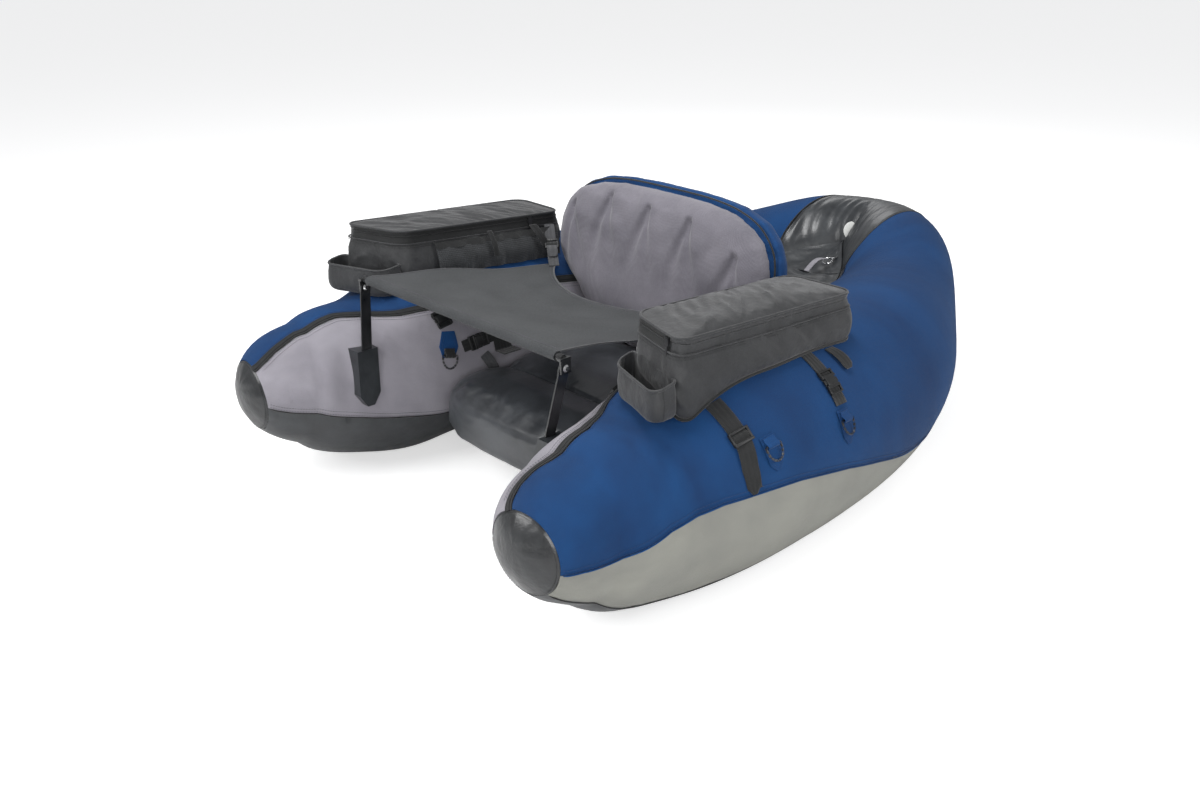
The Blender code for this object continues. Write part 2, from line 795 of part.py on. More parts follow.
def make_backrest_half(name, front, material):
    """One half of the backrest: a crowned panel on a flat face at the seam."""
    bm = sphere_mesh(BACKREST_COLUMNS, BACKREST_ROWS, 'Y')
    side = -1 if front else 1
    depth = BACKREST_FRONT_DEPTH if front else BACKREST_REAR_DEPTH
    for vertex in bm.verts:
        direction = vertex.co.copy()
        spread = math.hypot(direction.x, direction.z)
        crown = max(direction.y * side, 0.0)
        fullness = (spread ** BACKREST_CROWN_POWER + crown ** BACKREST_CROWN_POWER) ** (-1 / BACKREST_CROWN_POWER)
        if crown > 0:
            spread *= fullness
            crown *= fullness
        if spread > 0:
            around = math.atan2(direction.z, direction.x)
            squareness = spread * (abs(math.cos(around)) ** BACKREST_OUTLINE_POWER
                                   + abs(math.sin(around)) ** BACKREST_OUTLINE_POWER) ** (-1 / BACKREST_OUTLINE_POWER)
            direction.x = math.cos(around) * squareness
            direction.z = math.sin(around) * squareness
        place = backrest_point(direction.x, direction.z, side * crown, depth, front)
        vertex.co = place + Vector((0.0, side * SEAM_GAP / 2, 0.0))
    piece = add_object(name, mesh_from(name, bm), material)
    smooth(piece, 60)
    return piece


def make_backrest():
    front = make_backrest_half("backrest_front", True, grey_fabric)
    back = make_backrest_half("backrest_back", False, blue_fabric)
    hinge = (0.0, BACKREST_HINGE_Y, BACKREST_HINGE_Z)
    for piece in (front, back):
        set_origin(piece, hinge)
    return front, back


# Lofted strips: webbing, buckles, patches and flat bars

STRIP_SPACING = 0.011


def resampled(sections):
    """Adds sections between those that lie far apart, so that a strip can follow a curve."""
    result = [sections[0]]
    for before, after in zip(sections, sections[1:]):
        pieces = max(1, math.ceil((after[0] - before[0]) / STRIP_SPACING))
        for i in range(1, pieces + 1):
            result.append(tuple(b + (a - b) * i / pieces for b, a in zip(before, after)))
    return result


def strip_loft(name, place, sections, material):
    """A solid strip through rectangles. A section is (distance, bottom, top, width, sideways shift), and
    place(distance, sideways, height) gives the point."""
    rows = resampled(sections)
    count = len(rows) - 1
    corners = 4

    def corner(along, across):
        distance, bottom, top, width, shift = rows[round(along * count)]
        index = round(across * corners) % corners
        sideways = shift + width / 2 * (-1 if index in (0, 3) else 1)
        return place(distance, sideways, bottom if index < 2 else top)

    bm = grid_surface(count, corners, corner, closed=True)
    open_edges = [edge for edge in bm.edges if edge.is_boundary]
    bmesh.ops.holes_fill(bm, edges=open_edges, sides=corners)
    bmesh.ops.recalc_face_normals(bm, faces=bm.faces)
    if bm.calc_volume(signed=True) < 0:
        bmesh.ops.reverse_faces(bm, faces=bm.faces)
    return add_object(name, mesh_from(name, bm), material)


def join(piece, *others):
    """Unites other solids with the piece, and removes them."""
    for other in others:
        union = piece.modifiers.new("Join", 'BOOLEAN')
        union.operation = 'UNION'
        union.object = other
        union.solver = 'EXACT'
    settle(piece)
    for other in others:
        bpy.data.objects.remove(other)
    return piece


def on_tube(station, angle, side=1, heading=0.0):
    """A place function for a strip on the tube. Distance runs down the slope to the side given, turned towards the
    stern by the heading, and height is above the cover."""
    turn = math.radians(heading)
    radius = tube_radius(station)
    speed = tube_speed(station)

    def place(distance, sideways, height):
        down = distance * math.cos(turn) - sideways * math.sin(turn)
        along = distance * math.sin(turn) + sideways * math.cos(turn)
        return tube_point(station + along / speed, angle + side * math.degrees(down / radius), height)

    return place


STRAP_STEP = 0.0008
LOCK_LENGTH = 0.022
LOCK_HEIGHT = 0.0065
LOCK_WIDTH = 0.031
STRAP_TIP_WIDTH = 0.006
STRAP_TIP_LENGTH = 0.012


def webbing_with_block(length, width, block_start, block_length, block_height, block_width):
    low = CONTACT_GAP
    flat = low + WEBBING_THICKNESS
    return [
        (0.0, low, flat, width, 0.0),
        (block_start, low, flat, width, 0.0),
        (block_start + STRAP_STEP, low, low + block_height, block_width, 0.0),
        (block_start + block_length - STRAP_STEP, low, low + block_height, block_width, 0.0),
        (block_start + block_length, low, flat, width, 0.0),
        (length, low, flat, width, 0.0),
    ]


# Side bags

BAG_POINTS = 32
BAG_CORNER_RADIUS = 0.026
BAG_FLOOR_RINGS = 3
END_FLARE_SHARE = 0.25
BAG_WALL_RINGS = 3
BAG_SEAT_GAP = 0.0036
BAG_BULGE = 0.002
POCKET_POINTS = 20
POCKET_CORNER_RADIUS = 0.024


def rounded_rectangle(share, half_width, half_length, radius):
    """The point at this share of the way round a rounded rectangle, from the middle of its outer side."""
    straight_x = half_width - radius
    straight_y = half_length - radius
    arc = radius * math.pi / 2
    runs = [straight_y, arc, 2 * straight_x, arc, 2 * straight_y, arc, 2 * straight_x, arc, straight_y]
    left = (share % 1.0) * sum(runs)
    index = 0
    while left > runs[index] and index < len(runs) - 1:
        left -= runs[index]
        index += 1
    turn = left / radius
    corner_x = (1, -1, -1, 1)[(index // 2) % 4]
    corner_y = (1, 1, -1, -1)[(index // 2) % 4]
    if index % 2 == 1:
        start = (index // 2) * math.pi / 2
        return (corner_x * straight_x + radius * math.cos(start + turn),
                corner_y * straight_y + radius * math.sin(start + turn))
    return [(half_width, left), (straight_x - left, half_length), (-half_width, straight_y - left),
            (left - straight_x, -half_length), (half_width, left - straight_y)][index // 2]


def tube_top_at(x, y):
    """The height of the cover's top at a place beside or on the tube's crest."""
    centre, half_across, half_up, station = tube_section_at(y)
    reach = min(abs(x - centre.x) / half_across, BAG_OVERHANG_SHARE)
    guess = centre.z + half_up * math.sqrt(1 - reach ** 2)
    return slide_to_tube((x, y, guess), UP, station, 0.0).z


BAG_OVERHANG_SHARE = 0.90


def bag_ground(a, b):
    """The place on the plan of a point in the bag's own directions: outwards, and rearwards from its middle."""
    turn = math.radians(BAG_TOE_OUT)
    b -= a * math.tan(math.radians(BAG_FRONT_SLANT)) * (EVEN_SHARE - b / BAG_LENGTH)
    x = BAG_CENTRE_X + a * math.cos(turn) + b * math.sin(turn)
    y = BAG_FRONT_Y + BAG_LENGTH / 2 - a * math.sin(turn) + b * math.cos(turn)
    return x, y


def bag_level(b, rise=0.0):
    """The rim's height, which falls to the rear, plus a rise."""
    return BAG_RIM_Z + rise - (b + BAG_LENGTH / 2) * math.tan(math.radians(BAG_PITCH))


def soft_tub(name, points, outline, rim, least_floor, bulge, flare, wall, material):
    """An open-topped bag that sits on the tube. outline(share) gives its rim, and rim(b) the rim's height."""
    def floor_at(x, y):
        return max(tube_top_at(x, y) + BAG_SEAT_GAP, least_floor)

    rings = BAG_FLOOR_RINGS + BAG_WALL_RINGS
    middle_a = sum(outline(i / points)[0] for i in range(points)) / points
    middle_b = sum(outline(i / points)[1] for i in range(points)) / points

    def place(along, across):
        ring = round(along * rings)
        a, b = outline(across)
        from_a = a - middle_a
        from_b = b - middle_b
        spread = math.hypot(from_a, from_b)
        foot_a = a + from_a / spread * flare
        foot_b = b + from_b / spread * flare * END_FLARE_SHARE
        if ring <= BAG_FLOOR_RINGS:
            share = ring / BAG_FLOOR_RINGS
            a = middle_a + (foot_a - middle_a) * share
            b = middle_b + (foot_b - middle_b) * share
            x, y = bag_ground(a, b)
            return Vector((x, y, floor_at(x, y)))
        share = (ring - BAG_FLOOR_RINGS) / BAG_WALL_RINGS
        foot_x, foot_y = bag_ground(foot_a, foot_b)
        foot_z = floor_at(foot_x, foot_y)
        drawn_in = 1 - (1 - share) ** 2
        swell = bulge * math.sin(share * math.pi) / spread
        x, y = bag_ground(foot_a + (a - foot_a) * drawn_in + from_a * swell,
                          foot_b + (b - foot_b) * drawn_in + from_b * swell)
        return Vector((x, y, foot_z + (rim(b) - foot_z) * share))

    bm = grid_surface(rings, points, place, closed=True)
    inside = Vector((*bag_ground(middle_a, middle_b), rim(middle_b)))
    face_out(bm, lambda centre: inside)
    piece = add_object(name, mesh_from(name, bm), material)
    thicken(piece, wall)
    smooth(piece, 50)
    return piece


def bag_outline(share):
    return rounded_rectangle(share, BAG_TOP_WIDTH / 2, BAG_LENGTH / 2, BAG_CORNER_RADIUS)


def make_bag_body():
    return soft_tub("left_bag_body", BAG_POINTS, bag_outline, bag_level, 0.0, BAG_BULGE, BAG_FLARE,
                    BAG_WALL, black_nylon)


LID_RINGS = 5
LID_SKIRT_SHARE = 0.40


def make_bag_lid():
    """The zipped lid: a skirt on the rim, and a crowned top. It hinges on the bag's outer top seam."""
    def place(along, across):
        ring = round(along * LID_RINGS)
        a, b = bag_outline(across)
        if ring < 2:
            x, y = bag_ground(a, b)
            return Vector((x, y, bag_level(b, SEAM_GAP + BAG_LID_HEIGHT * LID_SKIRT_SHARE * ring)))
        share = (LID_RINGS - ring) / (LID_RINGS - 1)
        crown = BAG_LID_HEIGHT * LID_SKIRT_SHARE + (BAG_LID_HEIGHT * (1 - LID_SKIRT_SHARE)) * (
            1 - share ** LID_CROWN_POWER)
        a *= share
        b *= share
        x, y = bag_ground(a, b)
        return Vector((x, y, bag_level(b, SEAM_GAP + crown)))

    bm = grid_surface(LID_RINGS, BAG_POINTS, place, closed=True)
    inside = Vector((*bag_ground(0.0, 0.0), bag_level(0.0)))
    face_out(bm, lambda centre: inside)
    piece = add_object("left_bag_lid", mesh_from("left_bag_lid", bm), black_nylon)
    thicken(piece, BAG_WALL)
    smooth(piece, 50)
    set_origin(piece, lid_hinge_point())
    return piece


LID_CROWN_POWER = 3.0


def lid_hinge_point():
    x, y = bag_ground(BAG_TOP_WIDTH / 2, 0.0)
    return Vector((x, y, bag_level(0.0)))


def cup_outline(share):
    a, b = rounded_rectangle(share, CUP_POCKET_WIDTH / 2, CUP_POCKET_DEPTH / 2, POCKET_CORNER_RADIUS)
    if b > 0:
        a, b = rounded_rectangle(share, CUP_POCKET_WIDTH / 2, CUP_POCKET_DEPTH / 2, CUP_POCKET_BACK_RADIUS)
    return a, b - BAG_LENGTH / 2 - CUP_POCKET_DEPTH / 2 - CUP_POCKET_GAP


CUP_POCKET_BACK_RADIUS = 0.008
CUP_POCKET_GAP = 0.0051


def make_cup_pocket():
    def rim(b):
        return bag_level(-BAG_LENGTH / 2) - CUP_POCKET_BELOW_RIM

    floor = rim(0.0) - CUP_POCKET_HEIGHT
    return soft_tub("left_cup_pocket", POCKET_POINTS, cup_outline, rim, floor, 0.0, 0.0, CUP_POCKET_WALL,
                    black_nylon)


SLIDER_GAP = 0.0004


def wall_stand_off(drop, flare):
    """How far the bag's wall stands out from its rim at this drop below it."""
    x, y = bag_ground(0.0, 0.0)
    ring_height = (BAG_RIM_Z - tube_top_at(x, y)) / BAG_WALL_RINGS * CREST_SHARE
    first_ring = flare / BAG_WALL_RINGS ** 2 + BAG_BULGE
    return first_ring * max(drop, 0.0) / ring_height * BAG_WALL_SPREAD_SHARE


BAG_WALL_SPREAD_SHARE = 1.05
LEFT_SLIDER_FROM_CORNER = 0.030
RIGHT_SLIDER_FROM_END = 0.082
LEFT_PULL_LENGTH = 0.013


def make_slider(name, on_front, across, pull_length):
    """A zip slider with its pull, on the outside of the rim: on the bag's front, or on its inner side."""
    def place(distance, sideways, height):
        drop = max(distance - SLIDER_LENGTH / 2, SLIDER_LENGTH / 2)
        if on_front:
            facing = END_FLARE_SHARE
            a, b = across + sideways, -BAG_LENGTH / 2
        else:
            facing = BAG_TOP_WIDTH / 2 / math.hypot(BAG_TOP_WIDTH / 2, across)
            a, b = -BAG_TOP_WIDTH / 2, across + sideways
        out = SLIDER_GAP + height + wall_stand_off(drop, BAG_FLARE * facing)
        if on_front:
            b -= out
        else:
            a -= out
        x, y = bag_ground(a, b)
        side = 1 if name.startswith("left") else -1
        return Vector((side * x, y, bag_level(b, SLIDER_LENGTH / 2 - distance)))

    sections = [
        (0.0, 0.0, SLIDER_HEIGHT, SLIDER_WIDTH, 0.0),
        (SLIDER_LENGTH - STRAP_STEP, 0.0, SLIDER_HEIGHT, SLIDER_WIDTH, 0.0),
        (SLIDER_LENGTH, SLIDER_HEIGHT - PULL_THICKNESS, SLIDER_HEIGHT, PULL_WIDTH, 0.0),
        (SLIDER_LENGTH + pull_length, SLIDER_HEIGHT - PULL_THICKNESS, SLIDER_HEIGHT, PULL_WIDTH, 0.0),
    ]
    piece = strip_loft(name, place, sections, black_metal)
    set_origin(piece, place(SLIDER_LENGTH / 2, 0.0, 0.0))
    return piece


# Straps, rings and their tabs

FRONT_STRAP_STATION = 1.75
FRONT_STRAP_TAIL_ANGLE = 78.0
FRONT_STRAP_LOCK_ANGLE = 46.0
FRONT_STRAP_TAIL_SHIFT = 0.013
REAR_STRAP_STATION = 2.84
REAR_STRAP_END_ANGLE = 57.0
REAR_BUCKLE_ANGLE = 38.0
FRONT_RING_STATION = 1.97
FRONT_RING_ANGLE = 60.0
REAR_RING_STATION = 2.81
REAR_RING_ANGLE = 64.5
HARNESS_RING_STATION = 1.58
HARNESS_RING_ANGLE = -74.5
HARNESS_HEADING = -22.0
HARNESS_STRAP_STATION = 1.70
HARNESS_STRAP_START_ANGLE = -46.0
HARNESS_STRAP_LENGTH = 0.034
HARNESS_BLOCK_LENGTH = 0.026
SEAT_STRAP_STATION = 2.32
SEAT_STRAP_START_ANGLE = -52.0
SEAT_STRAP_REST_LENGTH = 0.030
CROSS_BUCKLE_STATION = 2.01
CROSS_BUCKLE_ANGLE = -73.0
CROSS_BUCKLE_REACH = 0.060


def bag_foot_angle(station):
    """The angle on the tube's outer side at which the bag's floor ends."""
    angle = 0.0
    a = -BAG_LENGTH
    while a < BAG_TOP_WIDTH / 2 + BAG_FLARE + BAG_BULGE:
        angle += EVEN_SHARE
        point = tube_point(station, angle)
        turn = math.radians(BAG_TOE_OUT)
        a = (point.x - BAG_CENTRE_X) * math.cos(turn) - (
            point.y - BAG_FRONT_Y - BAG_LENGTH / 2) * math.sin(turn)
    return angle


def make_front_strap():
    start = bag_foot_angle(FRONT_STRAP_STATION)
    per_degree = math.radians(tube_radius(FRONT_STRAP_STATION))
    lock = (FRONT_STRAP_LOCK_ANGLE - start) * per_degree
    end = (FRONT_STRAP_TAIL_ANGLE - start) * per_degree
    sections = webbing_with_block(lock + LOCK_LENGTH + STRAP_STEP, STRAP_WIDTH, lock, LOCK_LENGTH,
                                  LOCK_HEIGHT, LOCK_WIDTH)
    low = CONTACT_GAP
    flat = low + WEBBING_THICKNESS
    shift = -FRONT_STRAP_TAIL_SHIFT
    sections.append((end - STRAP_TIP_LENGTH, low, flat, STRAP_WIDTH * TAIL_WIDTH_SHARE, shift))
    sections.append((end, low, flat, STRAP_TIP_WIDTH, shift))
    return strip_loft("left_front_strap", on_tube(FRONT_STRAP_STATION, start), sections, black_webbing)


TAIL_WIDTH_SHARE = 0.88


def make_rear_strap():
    start = bag_foot_angle(REAR_STRAP_STATION)
    per_degree = math.radians(tube_radius(REAR_STRAP_STATION))
    length = (REAR_STRAP_END_ANGLE - start) * per_degree
    buckle = (REAR_BUCKLE_ANGLE - start) * per_degree
    sections = webbing_with_block(length, STRAP_WIDTH, buckle, BUCKLE_LENGTH, BUCKLE_HEIGHT, BUCKLE_WIDTH)
    return strip_loft("left_rear_strap", on_tube(REAR_STRAP_STATION, start), sections, black_webbing)


TAB_BACK_LENGTH = 0.016
TAB_FOLD_LENGTH = 0.013
LOOP_STEPS = 8
LOOP_TURN = 200.0
RING_STEPS = 10
RING_SIDES = 6
FOLD_GAP = 0.0006
TAB_TIP_WIDTH = 0.006
SIDE_PATCH = [
    (-TAB_BACK_LENGTH, TAB_WIDTH),
    (TAB_LENGTH - TAB_POINT - TAB_BACK_LENGTH, TAB_WIDTH),
    (TAB_LENGTH - TAB_BACK_LENGTH, TAB_TIP_WIDTH),
]
HARNESS_PATCH = [
    (-HARNESS_TAB_LENGTH, TAB_WIDTH),
    (-TAB_BACK_LENGTH, HARNESS_TAB_WIDTH),
    (RING_WIRE, TAB_WIDTH),
]


def ring_height():
    """The height of a ring's straight bar above the cover, inside the fold of its tab."""
    return CONTACT_GAP + 2 * WEBBING_THICKNESS - TAB_SINK + FOLD_GAP + RING_WIRE / 2


TAB_SINK = 0.0004


def make_ring_tab(name, station, angle, side, heading, patch_rows, material):
    """A stitched patch with a point, and on it a fold of webbing that holds the ring's bar."""
    place = on_tube(station, angle, side, heading)
    low = CONTACT_GAP
    patch_top = low + WEBBING_THICKNESS
    patch = strip_loft(name, place, [(distance, low, patch_top, width, 0.0) for distance, width in patch_rows],
                       material)
    bar = ring_height()
    middle = RING_WIRE / 2 + FOLD_GAP + WEBBING_THICKNESS / 2
    path = [(-TAB_FOLD_LENGTH, bar - middle), (-TAB_FOLD_LENGTH * EVEN_SHARE, bar - middle)]
    for i in range(LOOP_STEPS + 1):
        turn = math.radians(-90 + LOOP_TURN * i / LOOP_STEPS)
        path.append((middle * math.cos(turn), bar + middle * math.sin(turn)))
    path.append((-TAB_FOLD_LENGTH, bar - middle + WEBBING_THICKNESS + 2 * CONTACT_GAP))
    count = len(path) - 1
    corners = 4
    half_width = TAB_WIDTH * FOLD_WIDTH_SHARE / 2

    def corner(along, across):
        index = round(along * count)
        before = Vector(path[max(index - 1, 0)])
        after = Vector(path[min(index + 1, count)])
        run = (after - before).normalized()
        normal = Vector((-run.y, run.x))
        which = round(across * corners) % corners
        level = normal * WEBBING_THICKNESS / 2 * (-1 if which < 2 else 1)
        point = Vector(path[index]) + level
        return place(point.x, half_width * (-1 if which in (0, 3) else 1), point.y)

    bm = grid_surface(count, corners, corner, closed=True)
    bmesh.ops.holes_fill(bm, edges=[edge for edge in bm.edges if edge.is_boundary], sides=corners)
    bmesh.ops.recalc_face_normals(bm, faces=bm.faces)
    if bm.calc_volume(signed=True) < 0:
        bmesh.ops.reverse_faces(bm, faces=bm.faces)
    fold = add_object(name + "_fold", mesh_from(name + "_fold", bm), material)
    return join(patch, fold)


FOLD_WIDTH_SHARE = 0.80


def make_ring(name, station, angle, side, heading):
    """A D-shaped ring whose straight bar lies in the fold of its tab."""
    place = on_tube(station, angle, side, heading)
    bar = ring_height()
    centre = place(0.0, 0.0, bar)
    across = (place(0.0, RING_WIRE, bar) - centre).normalized()
    normal = (place(0.0, 0.0, bar + RING_WIRE) - centre).normalized()
    down = (across.cross(normal) if (across.cross(normal)).dot(place(RING_WIRE, 0.0, bar) - centre) > 0
            else normal.cross(across))
    half_width = (RING_INNER_WIDTH + RING_WIRE) / 2
    depth = RING_INNER_DEPTH + RING_WIRE
    path = []
    for i in range(RING_STEPS + 1):
        turn = math.pi * i / RING_STEPS
        path.append((half_width * math.cos(turn), depth * math.sin(turn) ** RING_ROUNDNESS))
    path += [(-half_width * EVEN_SHARE, 0.0), (half_width * EVEN_SHARE, 0.0)]
    count = len(path)

    def wire(along, around):
        index = round(along * count) % count
        before = Vector(path[index - 1])
        here = Vector(path[index])
        after = Vector(path[(index + 1) % count])
        run = (after - before).normalized()
        outward = Vector((run.y, -run.x))
        turn = around * FULL_TURN
        offset = outward * math.cos(turn) * RING_WIRE / 2
        flat = here + offset
        return centre + across * flat.x + down * flat.y + normal * (math.sin(turn) * RING_WIRE / 2)

    bm = grid_surface(count, RING_SIDES, wire, closed=True)
    if bm.calc_volume(signed=True) < 0:
        bmesh.ops.reverse_faces(bm, faces=bm.faces)
    piece = add_object(name, mesh_from(name, bm), black_metal)
    smooth(piece)
    set_origin(piece, centre)
    return piece


RING_ROUNDNESS = 0.8


def make_harness_buckle():
    place = on_tube(HARNESS_STRAP_STATION, HARNESS_STRAP_START_ANGLE, -1)
    start = (HARNESS_STRAP_LENGTH - HARNESS_BLOCK_LENGTH) / 2
    sections = webbing_with_block(HARNESS_STRAP_LENGTH, STRAP_WIDTH, start, HARNESS_BLOCK_LENGTH, BUCKLE_HEIGHT,
                                  BUCKLE_WIDTH)
    return strip_loft("left_harness_buckle", place, sections, black_webbing)


def make_seat_strap():
    """Wide webbing that hangs the seat's edge from the tube, with a buckled cross strap from the harness tab."""
    station = SEAT_STRAP_STATION
    radius = tube_radius(station)
    centre, forward, up, out = tube_frame(station)
    lift = CONTACT_GAP
    seat_level = SEAT_TOP + CONTACT_GAP
    leave = math.degrees(math.asin((seat_level + SEAT_STRAP_CURL - centre.z) / radius)) - 90
    hang_length = math.radians(SEAT_STRAP_START_ANGLE - leave) * radius
    leave_point = tube_point(station, leave)
    follow = on_tube(station, SEAT_STRAP_START_ANGLE, -1)

    def place(distance, sideways, height):
        if distance <= hang_length:
            return follow(distance, sideways, height)
        beyond = distance - hang_length
        return Vector((leave_point.x - beyond - height * math.exp(-beyond / SEAT_STRAP_CURL),
                       leave_point.y + sideways,
                       seat_level + height + SEAT_STRAP_CURL * math.exp(-beyond / SEAT_STRAP_CURL * 2)))

    end = hang_length + SEAT_STRAP_REST_LENGTH
    sections = [(0.0, lift, lift + WEBBING_THICKNESS, SEAT_STRAP_WIDTH, 0.0),
                (hang_length, lift, lift + WEBBING_THICKNESS, SEAT_STRAP_WIDTH, 0.0),
                (end, lift, lift + WEBBING_THICKNESS, SEAT_STRAP_WIDTH, 0.0)]
    strap = strip_loft("left_seat_strap", place, sections, black_webbing)
    low = lift + TAB_SINK
    flat = low + WEBBING_THICKNESS
    block = low + BUCKLE_HEIGHT
    reach = CROSS_BUCKLE_REACH
    start = reach * EVEN_SHARE - BUCKLE_LENGTH / 2
    cross = strip_loft("left_cross_buckle", on_tube(CROSS_BUCKLE_STATION, CROSS_BUCKLE_ANGLE, -1, 90.0), [
        (-reach / 2, low, flat, STRAP_WIDTH * TAIL_WIDTH_SHARE, 0.0),
        (start - reach / 2, low, flat, STRAP_WIDTH * TAIL_WIDTH_SHARE, 0.0),
        (start - reach / 2 + STRAP_STEP, low, block, BUCKLE_WIDTH * TAIL_WIDTH_SHARE, 0.0),
        (start - reach / 2 + BUCKLE_LENGTH, low, block, BUCKLE_WIDTH * TAIL_WIDTH_SHARE, 0.0),
        (start - reach / 2 + BUCKLE_LENGTH + STRAP_STEP, low, flat, STRAP_WIDTH * TAIL_WIDTH_SHARE, 0.0),
        (reach / 2 + SEAT_STRAP_WIDTH * EVEN_SHARE, low, flat, STRAP_WIDTH * TAIL_WIDTH_SHARE, 0.0),
    ], black_webbing)
    return join(strap, cross)


SEAT_STRAP_CURL = 0.006


# Apron, bar and legs

LEG_BEND_ABOVE_MOUTH = 0.005
LEG_FOOT_DEPTH = 0.018
LEG_FOOT_STAND_OFF = 0.0234
LEG_SPREAD = 0.015
LEG_TOP_ABOVE_RIVET = 0.0065
POCKET_MOUTH_DROP = 0.101
POCKET_MOUTH_Z = TUBE_DIAMETER - POCKET_MOUTH_DROP
LEG_BEND_Z = POCKET_MOUTH_Z + LEG_BEND_ABOVE_MOUTH
LEG_FOOT_Z = POCKET_MOUTH_Z - LEG_FOOT_DEPTH
POCKET_TIP_STAND_OFF = 0.019


def leg_y(z):
    """The legs' place along the craft at a height. They lean to the noses, along the way the bar lifts out."""
    return BAR_Y - (BAR_Z - RIVET_DROP - z) * math.tan(math.radians(LEG_LEAN))


def inside_tube(z, stand_off):
    """The place across the craft of a point that stands off the tube's inner side, in line with the legs."""
    return inner_reach(leg_y(z), z, 0.0) - stand_off


LEG_FOOT_X = inside_tube(POCKET_MOUTH_Z, LEG_FOOT_STAND_OFF)
POCKET_TIP_X = inside_tube(POCKET_MOUTH_Z - POCKET_HEIGHT, POCKET_TIP_STAND_OFF)
RIVET_X = LEG_FOOT_X + LEG_SPREAD
BAR_HALF_LENGTH = RIVET_X + BAR_PAST_RIVET
APRON_FRONT_HALF_WIDTH = BAR_HALF_LENGTH - APRON_BAR_SHORTFALL
APRON_REAR_HALF_WIDTH = APRON_FRONT_HALF_WIDTH - APRON_TAPER


def box_between(name, low, high, material):
    bm = bmesh.new()
    bmesh.ops.create_cube(bm, size=1.0)
    size = Vector(high) - Vector(low)
    bmesh.ops.scale(bm, verts=bm.verts, vec=size)
    bmesh.ops.translate(bm, verts=bm.verts, vec=(Vector(high) + Vector(low)) / 2)
    return add_object(name, mesh_from(name, bm), material)


def make_crossbar():
    """A round bar with a flattened lug turned down at each end, which takes the leg's rivet."""
    bar = cylinder("crossbar", BAR_DIAMETER / 2, 2 * BAR_HALF_LENGTH, black_metal, 12)
    bar.rotation_euler = (0.0, math.pi / 2, 0.0)
    bar.location = (0.0, BAR_Y, BAR_Z)
    settle(bar)
    lug_x = RIVET_X + LEG_THICKNESS / 2 + CONTACT_GAP
    others = []
    for side in (-1, 1):
        inner = min(side * (lug_x + LUG_THICKNESS), side * (BAR_HALF_LENGTH - LUG_THICKNESS))
        outer = max(side * (lug_x + LUG_THICKNESS), side * (BAR_HALF_LENGTH - LUG_THICKNESS))
        neck = box_between("lug_neck", (inner, BAR_Y - LUG_WIDTH / 2, BAR_Z - LUG_THICKNESS / 2),
                           (outer, BAR_Y + LUG_WIDTH / 2, BAR_Z + LUG_THICKNESS / 2), black_metal)
        inner = min(side * lug_x, side * (lug_x + LUG_THICKNESS))
        tongue = box_between("lug", (inner, BAR_Y - LUG_WIDTH / 2 + STRAP_STEP, BAR_Z - LUG_DROP),
                             (inner + LUG_THICKNESS, BAR_Y + LUG_WIDTH / 2 - STRAP_STEP, BAR_Z), black_metal)
        others += [neck, tongue]
    join(bar, *others)
    hole = cylinder("rivet_hole", RIVET_RADIUS + CONTACT_GAP, 4 * BAR_HALF_LENGTH, black_metal, 12)
    hole.rotation_euler = (0.0, math.pi / 2, 0.0)
    hole.location = (0.0, BAR_Y, BAR_Z - RIVET_DROP)
    as_cutter(hole)
    cut_away(bar, hole)
    settle(bar)
    return bar, hole


def make_leg(hole):
    """A flat bar leg, riveted to the bar's lug. It slants in to the tube, and its foot stands upright in a pocket."""
    top = BAR_Z - RIVET_DROP + LEG_TOP_ABOVE_RIVET
    bend_start = BAR_Z - LUG_DROP - LEG_THICKNESS

    def centre_x(z):
        if z >= bend_start:
            return RIVET_X
        if z <= LEG_BEND_Z:
            return LEG_FOOT_X
        return LEG_FOOT_X + (RIVET_X - LEG_FOOT_X) * (z - LEG_BEND_Z) / (bend_start - LEG_BEND_Z)

    def place(distance, sideways, height):
        z = top - distance
        return Vector((centre_x(z) + height, leg_y(z) + sideways, z))

    half = LEG_THICKNESS / 2
    tip = top - LEG_FOOT_Z
    sections = [
        (0.0, -half, half, LEG_WIDTH * LEG_END_SHARE, 0.0),
        (LEG_END_RUN, -half, half, LEG_WIDTH, 0.0),
        (top - bend_start, -half, half, LEG_WIDTH, 0.0),
        (top - LEG_BEND_Z, -half, half, LEG_WIDTH, 0.0),
        (tip - LEG_END_RUN, -half, half, LEG_WIDTH, 0.0),
        (tip, -half, half, LEG_WIDTH * LEG_END_SHARE, 0.0),
    ]
    leg = strip_loft("left_bar_leg", place, sections, black_metal)
    cut_away(leg, hole)
    settle(leg)
    return leg


LEG_END_SHARE = 0.6
LEG_END_RUN = 0.004


def make_rivet():
    outer = RIVET_X + LEG_THICKNESS / 2 + 2 * CONTACT_GAP + LUG_THICKNESS
    inner = RIVET_X - LEG_THICKNESS / 2 - CONTACT_GAP
    length = outer - inner
    profile = [
        (0.0, length + RIVET_HEAD_HEIGHT),
        (RIVET_HEAD_RADIUS * RIVET_DOME_SHARE, length + RIVET_HEAD_HEIGHT),
        (RIVET_HEAD_RADIUS, length),
        (RIVET_RADIUS, length),
        (RIVET_RADIUS, 0.0),
        (RIVET_HEAD_RADIUS, 0.0),
        (RIVET_HEAD_RADIUS * RIVET_DOME_SHARE, -RIVET_HEAD_HEIGHT),
        (0.0, -RIVET_HEAD_HEIGHT),
    ]
    rivet = turned("left_bar_rivet", profile, bright_metal, 12)
    aim(rivet, (inner, BAR_Y, BAR_Z - RIVET_DROP), (1.0, 0.0, 0.0))
    settle(rivet)
    smooth(rivet)
    return rivet


RIVET_DOME_SHARE = 0.6
APRON_ROWS = 10
APRON_SHEET_COLUMNS = 7
APRON_SLEEVE_COLUMNS = 7
APRON_SLEEVE_TURN = 320.0


